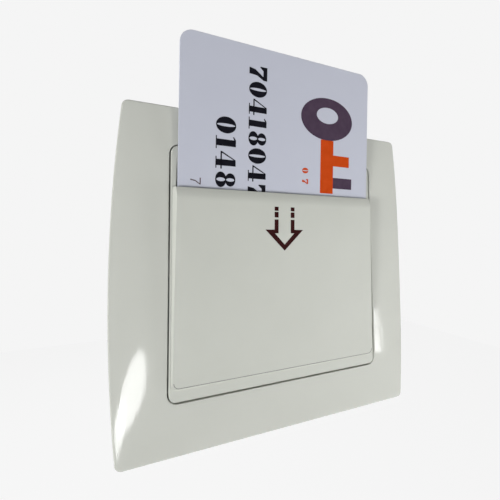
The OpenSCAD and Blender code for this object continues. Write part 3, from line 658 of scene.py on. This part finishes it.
@dataclass
class PocketArrow:
    """The arrow printed on the pocket front, with heights down from the face's upper edge."""

    face: PocketFace  # the pocket's face
    centre: float = -0.59  # middle of the arrow in X
    stroke: float = 1.1  # width of its lines
    column: float = 2.83  # outer half width of its two columns
    wing: float = 5.35  # half width of its head
    dots: tuple[Flat, Flat] = ((0.58, 1.6), (1.88, 3.28))  # upper and lower ends of the two dots
    bar: float = 3.79  # upper end of the two columns
    shoulder: float = 6.35  # upper side of the head
    heel: float = 0.9  # thickness of the head's upper line
    notch: float = 0.1  # distance of the head's inside corner from a column's outer side
    tip: float = 11.64  # point of the head
    tip_stroke: float = 1.57  # thickness of the lines at the point

    def build(self) -> Object:
        """Builds the arrow.

        Returns:
            The arrow as a thin film.
        """
        shape = Shape()
        outer, inner = -self.column, self.stroke - self.column
        heel = self.shoulder + self.heel
        half = [(outer, self.bar), (inner, self.bar), (inner, heel), (outer + self.notch, heel),
                (0, self.tip - self.tip_stroke), (0, self.tip), (-self.wing, self.shoulder),
                (outer, self.shoulder)]
        outlines = [half] + [oblong(outer, top, inner, low) for top, low in self.dots]
        for side in (1, -1):
            for outline in outlines:
                placed = [(self.centre + side * x, d) for x, d in outline]
                shape.slab(placed, self.face.place, -FILM_SUNK, FILM_PROUD)
        return shape.piece("pocket_arrow", INK_MAROON, Slot.SHELL, Body.BASE)


@dataclass
class PaintedCreaseShade:
    """A painted shade line along the ridge at the pocket's foot, turned up at both ends: a dark
    film that stands in for the crease's shadow.
    """

    face: PocketFace  # the pocket's face
    half: float = 27.5  # half of its width
    corner: float = 1.3  # radius of its ends
    width: float = 0.15  # width of the line
    steps: int = 8  # number of steps in a turned-up end

    def build(self) -> Object:
        """Builds the painted shade line of the crease.

        Returns:
            The painted shade as a thin dark film.
        """
        shape = Shape()
        centre = (self.corner - self.half, self.face.length() - self.corner)
        lower, upper = (left + mirrored(left) for left in (
            arc(*centre, r, 180, 90, self.steps) for r in (self.corner, self.corner - self.width)))
        shape.slab(lower + upper[::-1], self.face.place, -FILM_SUNK, FILM_PROUD)
        return shape.piece("pocket_crease_painted_shade", PAINTED_SHADE_GREY, Slot.SHELL, Body.BASE)


@dataclass
class KeyCard:
    """The plastic card that leans a little forward in the pocket."""

    width: float = 53.98  # width of the card
    length: float = 85.6  # length of the card
    thickness: float = 0.76  # thickness of the card
    corner: float = 3.18  # corner radius
    # inset and depth of the points round a softly broken edge
    edge: tuple[Flat, ...] = ((0.1, 0), (0.03, 0.03), (0, 0.1))
    inside: float = 49.4  # length below the lip
    lean: float = 3.5  # forward lean in degrees
    lip_y: float = -9.1  # depth of the card's middle plane at the lip
    lip_z: float = 18.8  # height of the lip
    steps: int = 12  # number of steps in a corner

    def place(self, x: float, u: float, off: float) -> Point:
        """The point at x and u along the card from the lip, off in front of its middle plane."""
        c, s = polar(1, self.lean)
        return (x, self.lip_y - off * c - u * s, self.lip_z - off * s + u * c)

    def outline(self, inset: float) -> Outline:
        """The card's outline moved inwards.

        Args:
            inset: how far it is moved.

        Returns:
            The ring in X and u.
        """
        r = self.corner - inset
        low, high = -self.inside + self.corner, self.length - self.inside - self.corner
        c = self.width / 2 - self.corner
        middles = [(c, high, 90), (c, low, 0), (-c, low, -90), (-c, high, -180)]
        return [p for x, u, a in middles for p in arc(x, u, r, a, a - 90, self.steps)]

    def build(self) -> Object:
        """Builds the card with its softly broken edges.

        Returns:
            The finished piece.
        """
        shape = Shape()
        half = self.thickness / 2
        levels = [(inset, half - depth) for inset, depth in self.edge]
        levels += [(inset, -off) for inset, off in reversed(levels)]
        shape.loft([[self.place(x, u, off) for x, u in self.outline(inset)]
                    for inset, off in levels])
        obj = keep_flat(shape.piece("key_card_body", LAMINATE, Slot.CARD, Body.CARD, 60))
        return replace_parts(obj, "key_card")

    def print_film(self, name: str, finish: Moulding, bands: Sequence[tuple[Outline, Outline]],
                   slabs: Sequence[Outline]) -> Object:
        """Prints shapes on the card's front.

        Args:
            name: name of the piece.
            finish: the ink.
            bands: pairs of outer and inner outlines in X and u.
            slabs: outlines in X and u.

        Returns:
            The print as a thin film.
        """
        shape = Shape()
        low, high = self.thickness / 2 - FILM_SUNK, self.thickness / 2 + INK_PROUD
        for outer, inner in bands:
            shape.band(outer, inner, self.place, low, high)
        for outline in slabs:
            shape.slab(outline, self.place, low, high)
        return shape.piece(name, finish, Slot.CARD, Body.CARD)


class Numerals:
    """Heavy numerals with hairline serifs, drawn one unit high.

    WIDTH is a numeral's width with its margin. BOWLS are its closed bowls, as their centre and
    the half sizes of the outer and the inner oval. STROKES are its stems, bars and serifs.
    """

    WIDTH = {"0": 0.86, "1": 0.66, "4": 0.88, "7": 0.78, "8": 0.8}
    BOWLS = {"0": [((0.4, 0.5), (0.4, 0.5), (0.07, 0.45))],
             "8": [((0.37, 0.74), (0.32, 0.26), (0.08, 0.2)),
                   ((0.37, 0.27), (0.37, 0.27), (0.09, 0.21))]}
    STROKES = {"1": [oblong(0.15, 0.03, 0.47, 1), oblong(0, 0, 0.62, 0.05),
                     [(0.15, 1), (0, 0.9), (0, 0.84), (0.15, 0.91)]],
               "4": [oblong(0.37, 0.03, 0.67, 1),
                     [(0.37, 1), (0.37, 0.9), (0.06, 0.3), (-0.02, 0.3)],
                     oblong(-0.02, 0.24, 0.82, 0.31), oblong(0.24, 0, 0.8, 0.05)],
               "7": [oblong(0.02, 0.78, 0.72, 1),
                     [(0.02, 0.8), (0.02, 0.6), (0.07, 0.6), (0.24, 0.8)],
                     [(0.72, 0.8), (0.51, 0.42), (0.48, 0), (0.14, 0), (0.21, 0.34),
                      (0.54, 0.79)]]}
    # the lightly drawn form of a numeral
    SLIM = {"7": [oblong(0.02, 0.89, 0.68, 1),
                  [(0.68, 0.9), (0.38, 0.45), (0.3, 0), (0.18, 0), (0.27, 0.47), (0.56, 0.9)]]}


@dataclass(frozen=True)
class NumberRow:
    """A row of numerals that reads downwards on the card."""

    text: str  # the numerals
    x: float  # place of their base line
    u: float  # where the row starts
    height: float  # their height
    gap: float  # extra room between two numerals, in heights
    slim: bool = False  # whether they are lightly drawn

    def _set(self, outline: Outline, run: float) -> Outline:
        """Turns an outline a quarter to the right and sets it at its place in the row."""
        return [(self.x + self.height * b, self.u - self.height * (run + a)) for a, b in outline]

    def outlines(self) -> tuple[list[tuple[Outline, Outline]], list[Outline]]:
        """Draws the row.

        Returns:
            Its bands, as pairs of outer and inner outlines, and its slabs.
        """
        bands, slabs, run = [], [], 0.0
        strokes = Numerals.SLIM if self.slim else Numerals.STROKES
        for digit in self.text:
            for centre, *ovals in Numerals.BOWLS.get(digit, ()):
                bands.append(tuple(self._set(ellipse(*centre, *oval), run) for oval in ovals))
            slabs += [self._set(stroke, run) for stroke in strokes.get(digit, ())]
            run += Numerals.WIDTH[digit] + self.gap
        return bands, slabs


@dataclass
class CardPrint:
    """Generic print on the card: rows of numerals and a key sign."""

    card: KeyCard  # the card that carries it
    # the longer row of large numerals
    long_row: NumberRow = NumberRow("70418047", -10.2, 31.5, 4.8, 0.06)
    # the shorter row of large numerals
    short_row: NumberRow = NumberRow("0148", -18.4, 17.6, 5.0, 0.08)
    small_row: NumberRow = NumberRow("07", 5.2, 7.4, 1.9, 0.7)  # the small number beside the key
    # the digit near the card's edge
    single: NumberRow = NumberRow("7", -24.2, 2.6, 2.4, 0, slim=True)
    bow: Flat = (13.0, 21.3)  # centre of the key's oval bow in X and u
    bow_r: Flat = (8.4, 5.8)  # half of the bow's width and of its height
    hole: Flat = (13.0, 22.3)  # centre of the bow's hole in X and u
    hole_r: Flat = (3.5, 2.2)  # half of the hole's width and of its height
    oval_steps: int = 56  # number of points round the bow
    shaft: float = 2.1  # half width of the key's shaft
    shaft_root: float = 0.1  # how far the shaft reaches into the bow
    shaft_end: float = 0.9  # lower end of the shaft
    # upper end and length of the key's two bits
    bits: tuple[Flat, Flat] = ((11.6, 5.4), (5.4, 6.4))
    bit_h: float = 3.0  # height of a bit

    def build(self) -> list[Object]:
        """Prints the numerals and the key sign.

        Returns:
            The films.
        """
        long_bands, long_slabs = self.long_row.outlines()
        short_bands, short_slabs = self.short_row.outlines()
        bow, hole = (ellipse(*centre, *r, self.oval_steps)
                     for centre, r in ((self.bow, self.bow_r), (self.hole, self.hole_r)))
        left, right = self.bow[0] - self.shaft, self.bow[0] + self.shaft
        top = self.bow[1] - self.bow_r[1] + self.shaft_root
        shaft = oblong(left, top, right, self.shaft_end)
        upper, lower = (oblong(right, u, right + w, u - self.bit_h) for u, w in self.bits)
        ink_on = self.card.print_film
        return [ink_on("print_numbers", INK_BLACK, long_bands + short_bands,
                       long_slabs + short_slabs),
                ink_on("print_key_bow", INK_VIOLET, [(bow, hole)], [lower]),
                ink_on("print_key_shaft", INK_ORANGE, [], [shaft, upper]),
                ink_on("print_small_number", INK_ORANGE, *self.small_row.outlines()),
                ink_on("print_single_digit", INK_MAUVE, *self.single.outlines())]


@dataclass
class ReturnSpring:
    """The wire spring between the cradle's rest and the slider."""

    centre_y: float = -2.8  # depth of its axis
    low: float = -23.4  # height of its fixed end
    high: float = -10.0  # height of the end on the slider
    outer: float = 3.2  # outer diameter
    wire: float = 0.45  # wire diameter
    turns: int = 7  # number of turns, with one closed turn at each end
    closed: float = 1.02  # rise of a closed turn, in wire diameters
    per_turn: int = 28  # number of steps in a turn
    sides: int = 10  # number of points round the wire

    def height(self, turn: float) -> float:
        """Height of the wire's middle.

        Args:
            turn: number of turns from the fixed end.

        Returns:
            The height there.
        """
        start, end = self.low + self.wire / 2, self.high - self.wire / 2
        closed = self.wire * self.closed
        free = (end - start - 2 * closed) / (self.turns - 2)
        if turn < 1:
            return start + closed * turn
        if turn > self.turns - 1:
            return end - closed * (self.turns - turn)
        return start + closed + free * (turn - 1)

    def build(self) -> Object:
        """Builds the wire as a round tube.

        Returns:
            The finished piece.
        """
        shape = Shape()
        half = self.wire / 2
        section = ellipse(self.outer / 2 - half, 0, half, half, self.sides)
        rings = []
        for k in range(self.turns * self.per_turn + 1):
            c, s = polar(1, 360 * k / self.per_turn)
            z = self.height(k / self.per_turn)
            rings.append([(r * c, self.centre_y + r * s, z + h) for r, h in section])
        shape.loft(rings)
        obj = shape.piece("return_spring_wire", SPRING_STEEL, Slot.STEEL, None, 60)
        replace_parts(obj, "return_spring")
        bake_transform(obj)
        return obj


@dataclass
class ScrewSet:
    """Equal screws with a sunk drive, a domed head and a thread."""

    node: str  # the node that they stand for
    places: list[Point]  # where the undersides of the heads sit
    axis: Point  # direction in which the heads point
    shank_r: float  # radius over the thread
    shank_l: float  # length of the shank
    recess: Recess  # kind of drive
    pitch: float  # pitch of the thread
    head_r: float = 2.4  # head radius
    head_h: float = 1.3  # head height

    # an arm of the drive: half width and reach in head radii, and the share of its width at depth
    ARM_HALF = 0.14
    ARM_REACH = {Recess.SLOT: 0.9, Recess.CROSS: 0.62}
    ARM_DEEP = 0.6
    # the drive's scale at its floor and just under its rim, and the floor in head heights
    FLOOR, UNDER_RIM, FLOOR_H = 0.55, 0.95, 0.35
    # how far the drive's rim lies below the head's top, and the height of its broken edge
    RIM_DROP, RIM_EDGE = 0.05, 0.03
    # the dome: where it starts in arm reaches, its height in head heights, its steps
    DOME_START, DOME, DOME_STEPS = 1.04, 0.3, 5
    # height and width of the broken edge under the head
    BRIM_H, BRIM_W = 0.12, 0.1
    # the core in thread radii, the point in core radii and the length of the point
    CORE, POINT, POINT_L = 0.84, 0.6, 0.4
    # the thread: bare length, start below the head, depth in the core, half width in pitches
    BARE, START, SUNK, RIDGE = 0.7, 0.25, 0.05, 0.36
    # steps in a turn of the thread, the fewest steps, and the steps of its run-out
    THREAD_STEPS, THREAD_LEAST, RUN_OUT = 18, 8, 9
    # the smallest divisor
    TINY = 1e-9

    def _reach(self) -> float:
        """Length of an arm of the drive."""
        return self.head_r * self.ARM_REACH[self.recess]

    def _angles(self) -> list[float]:
        """Angles round the head, with extra ones at the corners of the drive.

        Returns:
            The angles in degrees.
        """
        arm = 360 / self.recess.value
        corner = math.degrees(math.atan2(self.head_r * self.ARM_HALF, self._reach()))
        spread = [corner + (arm / 2 - corner) * s for s in (0.25, 0.5, 0.75, 1.0)]
        tip = [-corner, -corner / 2, 0, corner / 2, corner]
        side = [-a for a in reversed(spread)] + tip + spread[:-1]
        return [k * arm + a for k in range(self.recess.value) for a in side]

    def _drive(self, angle: float, scale: float) -> float:
        """Distance from the axis to the edge of the drive.

        Args:
            angle: direction in degrees.
            scale: size of the drive at that depth, against its rim.

        Returns:
            The distance.
        """
        arm = 360 / self.recess.value
        near = abs((angle + arm / 2) % arm - arm / 2)
        ahead, aside = (max(part, self.TINY) for part in polar(1, near))
        half = self.head_r * self.ARM_HALF * (self.ARM_DEEP + (1 - self.ARM_DEEP) * scale)
        return min(self._reach() * scale / ahead, half / aside)

    def _to_world(self, place: Point) -> Place:
        """Finds the way from a screw's own coordinates, with the head along the third axis.

        Args:
            place: where the underside of the head sits.

        Returns:
            A function that turns them into a point of the part.
        """
        turn = Vector((0, 0, 1)).rotation_difference(Vector(self.axis)).to_matrix()

        def put(a: float, b: float, h: float) -> Point:
            """Places one point."""
            return tuple(m + p for m, p in zip(turn @ Vector((a, b, h)), place))

        return put

    def _add(self, shape: Shape, put: Place) -> None:
        """Adds one screw.

        Args:
            shape: the shape that takes it.
            put: turns the screw's own coordinates into a point.
        """
        angles = self._angles()

        def ring(r: float, h: float) -> list[Point]:
            """One ring of the screw's outside."""
            return [put(*polar(r, a), h) for a in angles]

        def sunk(scale: float, h: float) -> list[Point]:
            """One ring of the drive."""
            return [put(*polar(self._drive(a, scale), a), h) for a in angles]

        core = self.shank_r * self.CORE
        top = self.head_h - self.RIM_DROP
        start = self._reach() * self.DOME_START
        rings = [sunk(self.FLOOR, self.head_h * self.FLOOR_H),
                 sunk(self.UNDER_RIM, top - self.RIM_EDGE), sunk(1, top)]
        for k in range(1, self.DOME_STEPS + 1):
            s = k / self.DOME_STEPS
            rings.append(ring(start + (self.head_r - start) * s,
                              self.head_h * (1 - self.DOME * s * s)))
        rings += [ring(self.head_r, self.BRIM_H), ring(self.head_r - self.BRIM_W, 0),
                  ring(core, 0), ring(core, self.POINT_L - self.shank_l),
                  ring(core * self.POINT, -self.shank_l)]
        shape.loft(rings)
        self._add_thread(shape, put, core)

    def _add_thread(self, shape: Shape, put: Place, core: float) -> None:
        """Adds the thread's ridge round the shank.

        Args:
            shape: the shape that takes it.
            put: turns the screw's own coordinates into a point.
            core: radius of the shank under the thread.
        """
        turns = (self.shank_l - self.BARE) / self.pitch
        steps = max(int(turns * self.THREAD_STEPS), self.THREAD_LEAST)
        root, half = core - self.SUNK, self.pitch * self.RIDGE
        rings = []
        for k in range(steps + 1):
            run = turns * k / steps
            h = -self.START - self.pitch * run
            fade = min(1, k / self.RUN_OUT, (steps - k) / self.RUN_OUT)
            crest = core + (self.shank_r - core) * fade
            section = ((root, h + half), (crest, h), (root, h - half))
            rings.append([put(*polar(r, 360 * run), z) for r, z in section])
        shape.loft(rings)

    def build(self) -> Object:
        """Builds all screws of the set as one piece.

        Returns:
            The finished piece.
        """
        shape = Shape()
        for place in self.places:
            self._add(shape, self._to_world(place))
        obj = shape.piece(self.node + "_driven", ZINC, Slot.STEEL, Body.BASE, 30)
        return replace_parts(obj, self.node)


@dataclass
class RivetSet:
    """The rivets that hold the housing to the support frame."""

    x: float = 22.4  # distance from the middle
    z: float = 12.0  # distance up and down from the middle
    shank: float = 1.4  # shank radius
    head: float = 2.2  # head radius
    head_h: float = 0.8  # head height
    front: float = -1.2  # where the front heads sit
    back: float = 2.0  # where the rear heads sit
    dome: tuple[float, ...] = (84, 70, 52, 36, 20, 8, 0)  # angles in degrees of the rings of a head
    sides: int = 32  # number of points round a rivet

    def profile(self) -> list[Flat]:
        """Outline of one rivet.

        Returns:
            Radius and depth along it, from its front to its back.
        """
        dome = [(self.head * c, self.head_h * s) for c, s in (polar(1, a) for a in self.dome)]
        front = [(r, self.front - h) for r, h in dome]
        back = [(r, self.back + h) for r, h in reversed(dome)]
        return front + [(self.shank, self.front), (self.shank, self.back)] + back

    def build(self) -> Object:
        """Builds the four rivets as one piece.

        Returns:
            The finished piece.
        """
        shape = Shape()
        for cx in (-self.x, self.x):
            for cz in (-self.z, self.z):
                shape.loft([[(x, y, z) for x, z in ellipse(cx, cz, r, r, self.sides)]
                            for r, y in self.profile()])
        obj = shape.piece("housing_rivets_domed", ZINC, Slot.STEEL, Body.BASE)
        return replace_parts(obj, "housing_rivets")


@dataclass
class MadeNodes:
    """Nodes that keep their made shape and get a finish and softly broken edges."""

    names: tuple[str, ...]  # the nodes
    finish: Finish  # their finish
    soften: float  # width of the broken edges
    crease: float = 28  # angle in degrees from which an edge is broken
    weld: float = 1e-6  # distance in metres within which points are one
    flat: float = 0.4  # angle in degrees up to which faces are one flat

    def dress(self) -> list[Object]:
        """Gives the nodes their finish and broken edges.

        Returns:
            The nodes.
        """
        done = []
        for name in self.names:
            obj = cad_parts[name]
            obj.data.materials.clear()
            obj.data.materials.append(self.finish.material())
            for face in obj.data.polygons:
                face.use_smooth = True
            add_modifier(obj, "weld", "WELD", merge_threshold=self.weld)
            add_modifier(obj, "join_flats", "DECIMATE", decimate_type="DISSOLVE",
                         angle_limit=math.radians(self.flat))
            add_modifier(obj, "broken_edges", "BEVEL", width=self.soften * MM, segments=2,
                         limit_method="ANGLE", angle_limit=math.radians(self.crease),
                         use_clamp_overlap=True)
            done.append(keep_flat(obj))
        return done


@dataclass
class Viewpoint:
    """The camera, close in front of the switch and a little left of it."""

    place: Point = (-34.05, -73.07, 6.29)  # where it stands, in millimetres
    yaw: float = 21.024  # turn to the right in degrees
    pitch: float = 3.145  # turn upwards in degrees
    roll: float = -0.323  # turn about the view in degrees
    lens: float = 20.02  # focal length in millimetres
    sensor: float = 36  # width of the sensor in millimetres
    shift_y: float = -0.0456  # shift of the view upwards
    near: float = 5  # least distance that shows, in millimetres

    def build(self) -> Object:
        """Makes the scene's camera.

        Returns:
            The camera.
        """
        (north, east), (level, rise), (c, s) = (
            polar(1, turn) for turn in (self.yaw, self.pitch, self.roll))
        ahead = Vector((east * level, north * level, rise))
        right = Vector((north, -east, 0))
        up = right.cross(ahead)
        right, up = right * c + up * s, up * c - right * s
        data = bpy.data.cameras.new("viewpoint")
        data.sensor_width = self.sensor
        data.lens = self.lens
        data.shift_y = self.shift_y
        data.clip_start = self.near * MM
        obj = new_object("viewpoint", data)
        turn = Matrix((right, up, -ahead)).transposed()
        obj.matrix_world = Matrix.Translation(Vector(self.place) * MM) @ turn.to_4x4()
        bpy.context.scene.camera = obj
        return obj


@dataclass
class SoftLamp:
    """A studio lamp that faces the switch."""

    name: str  # name of the lamp
    shape: LampShape  # its outline
    place: Point  # where it stands, in millimetres
    size: Flat  # width and height in millimetres
    power: float  # power in watts
    turn: float = 0  # turn about its own axis in degrees
    mirrored: bool = False  # whether gloss surfaces show its reflection
    aim: Point = (0, -9, 0)  # the point that it faces, in millimetres

    def build(self) -> Object:
        """Makes the lamp.

        Returns:
            The lamp.
        """
        data = bpy.data.lights.new(self.name, "AREA")
        data.shape = self.shape.value
        data.size, data.size_y = (side * MM for side in self.size)
        data.energy = self.power
        obj = new_object(self.name, data)
        obj.visible_glossy = self.mirrored
        obj.location = Vector(self.place) * MM
        towards = (Vector(self.aim) - Vector(self.place)).normalized()
        roll = Matrix.Rotation(math.radians(self.turn), 3, "Z").to_quaternion()
        obj.rotation_euler = (towards.to_track_quat("-Z", "Y") @ roll).to_euler()
        return obj


@dataclass
class Studio:
    """Pale background, pale floor and soft light."""

    paper: float = 0.913  # brightness of the background and of the floor
    ambient: float = 0.105  # brightness of the light from the sides
    front: float = 0.285  # how much brighter it is from the front, and darker from behind
    low: float = 0.5  # how much brighter it is from below, and darker from above
    floor_z: float = -260  # height of the floor in millimetres
    floor_size: float = 1600  # side of the floor in millimetres
    floor_tone: float = 0.7  # brightness of the floor as the part is lit by it
    floor_share: float = 0.06  # share of the floor's brightness that takes shadows
    floor_lit: float = 0.4  # how much of that share the light gives back

    def _end(self, tree: NodeTree, kind: str, light: Node,
             shown: Node) -> None:
        """Ends a node tree.

        Args:
            tree: the tree.
            kind: the type of its last node.
            light: the shader that lights the part.
            shown: the shader for the rays that show the background.
        """
        rays = add_node(tree, "LightPath", {}).outputs
        seen = rays["Is Camera Ray"]
        for name in ("Is Glossy Ray", "Is Transmission Ray"):
            either = add_node(tree, "Math", {0: seen, 1: rays[name]}, operation="MAXIMUM")
            seen = either.outputs[0]
        mix = add_node(tree, "MixShader", {0: seen, 1: light.outputs[0], 2: shown.outputs[0]})
        add_node(tree, kind, {"Surface": mix.outputs[0]})

    def _tree(self, block: World | Material) -> NodeTree:
        """Turns on and empties the nodes of a world or a material.

        Args:
            block: the world or material.

        Returns:
            Its empty node tree.
        """
        block.use_nodes = True
        block.node_tree.nodes.clear()
        return block.node_tree

    def _world(self) -> None:
        """Makes the background and the soft light, which is brighter from front and below."""
        world = bpy.data.worlds.new("studio")
        bpy.context.scene.world = world
        tree = self._tree(world)
        towards = add_node(tree, "TexCoord", {}).outputs["Generated"]
        slope = add_node(tree, "VectorMath", {0: towards, 1: (0, -self.front, -self.low)},
                         operation="DOT_PRODUCT")
        level = add_node(tree, "Math", {0: slope.outputs["Value"], 1: self.ambient},
                         operation="ADD", use_clamp=True)
        light = add_node(tree, "Background", {"Color": grey(1), "Strength": level.outputs[0]})
        paper = add_node(tree, "Background", {"Color": grey(self.paper)})
        self._end(tree, "OutputWorld", light, paper)

    def _floor_material(self) -> Material:
        """Makes the floor's paper, which looks like the background and still takes a shadow.

        Returns:
            The material.
        """
        material = bpy.data.materials.new("floor_paper")
        tree = self._tree(material)
        matt = add_node(tree, "BsdfDiffuse", {"Color": grey(self.floor_tone)})
        shade = add_node(tree, "BsdfDiffuse", {"Color": grey(self.paper * self.floor_share)})
        rest = self.paper * (1 - self.floor_share * self.floor_lit)
        glow = add_node(tree, "Emission", {"Color": grey(rest)})
        total = add_node(tree, "AddShader", {0: shade.outputs[0], 1: glow.outputs[0]})
        self._end(tree, "OutputMaterial", matt, total)
        return material

    def build(self) -> None:
        """Makes background, floor and lamps."""
        self._world()
        half = self.floor_size / 2 * MM
        mesh = bpy.data.meshes.new("floor")
        mesh.from_pydata([(x, y, 0) for x, y in oblong(-half, -half, half, half)], [],
                         [(0, 1, 2, 3)])
        mesh.materials.append(self._floor_material())
        floor = new_object("floor", mesh)
        floor.location.z = self.floor_z * MM
        for lamp in lamps():
            lamp.build()


def lamps() -> list[SoftLamp]:
    """Lists the lamps.

    Returns:
        Five that only light the switch, and three whose reflections show.
    """
    square, oval = LampShape.SQUARE, LampShape.OVAL
    return [SoftLamp("lamp_right", square, (90, -120, -40), (60, 60), 0.083),
            SoftLamp("lamp_low_left", square, (-100, -100, -70), (60, 60), 0.026),
            SoftLamp("lamp_left", square, (-1320, -400, -330), (280, 300), 19.5),
            SoftLamp("lamp_side", square, (1150, -240, -280), (180, 300), 6.4),
            SoftLamp("lamp_back", square, (-150, 420, 420), (320, 320), 3.4),
            SoftLamp("glint_left", oval, (-58, -260, -139), (54, 72), 0.103, -26, True),
            SoftLamp("glint_left_low", oval, (-76, -239, -163), (22, 48), 0.028, 8, True),
            SoftLamp("glint_right", square, (249, -241, -110), (23, 54), 0.038, 5, True)]


def screw_sets() -> list[ScrewSet]:
    """Lists the sets of screws with their places.

    Returns:
        The four sets.
    """
    cradle = [(x, -3.2, z) for x in (-20.4, 20.4) for z in (21.5, -20.0)]
    claws = [(x, -1.2, 0.0) for x in (-22.0, 22.0)]
    rear = [(x, 23.6, -15.4) for x in (-15.2, 15.2)]
    terminals = [(x, 11.0, 16.8) for x in (-11.0, 0.0, 11.0)]
    front, back, up = (0, -1, 0), (0, 1, 0), (0, 0, 1)
    return [ScrewSet("cradle_screws", cradle, front, 1.2, 3.2, Recess.CROSS, 0.6),
            ScrewSet("claw_screws", claws, front, 1.5, 4.2, Recess.SLOT, 0.6),
            ScrewSet("rear_cover_screws", rear, back, 1.1, 10.6, Recess.CROSS, 0.8),
            ScrewSet("terminal_screws", terminals, up, 1.5, 1.9, Recess.SLOT, 0.5)]


def made_nodes() -> list[MadeNodes]:
    """Lists the nodes that keep their made shape.

    Returns:
        The groups, by finish.
    """
    return [MadeNodes(("centre_plate",), SATIN_SHELL, 0.12),
            MadeNodes(("card_cradle",), CRADLE_GREY, 0.12),
            MadeNodes(("mechanism_housing", "rear_cover"), HOUSING_GREY, 0.15),
            MadeNodes(("switch_case", "switch_lid"), CASE_DARK, 0.1),
            MadeNodes(("card_slider", "switch_plunger"), PLUNGER_RED, 0.1),
            MadeNodes(("support_frame", "claw_left", "claw_right", "claw_pins"), ZINC, 0.08),
            MadeNodes(("contact_blade", "common_contact", "make_contact", "break_contact",
                       "terminal_clamps"), BRASS, 0.06)]


def main() -> None:
    """Builds the finished look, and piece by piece."""
    logging.basicConfig(level=logging.INFO, format="%(message)s")
    bpy.context.scene.view_settings.view_transform = "Standard"
    Viewpoint().build()
    Studio().build()
    card, face = KeyCard(), PocketFace()
    # the crease piece is painted shade, a dark film where the crease's shadow falls
    pieces = [CoverFrame().build(), PocketArrow(face).build(), PaintedCreaseShade(face).build(),
              card.build()]
    pieces += CardPrint(card).build()
    pieces.append(ReturnSpring().build())
    pieces += [screws.build() for screws in screw_sets()]
    pieces.append(RivetSet().build())
    for group in made_nodes():
        pieces += group.dress()
    for piece in pieces:
        log.info("piece %s", piece.name)


if __name__ == "__main__":
    main()
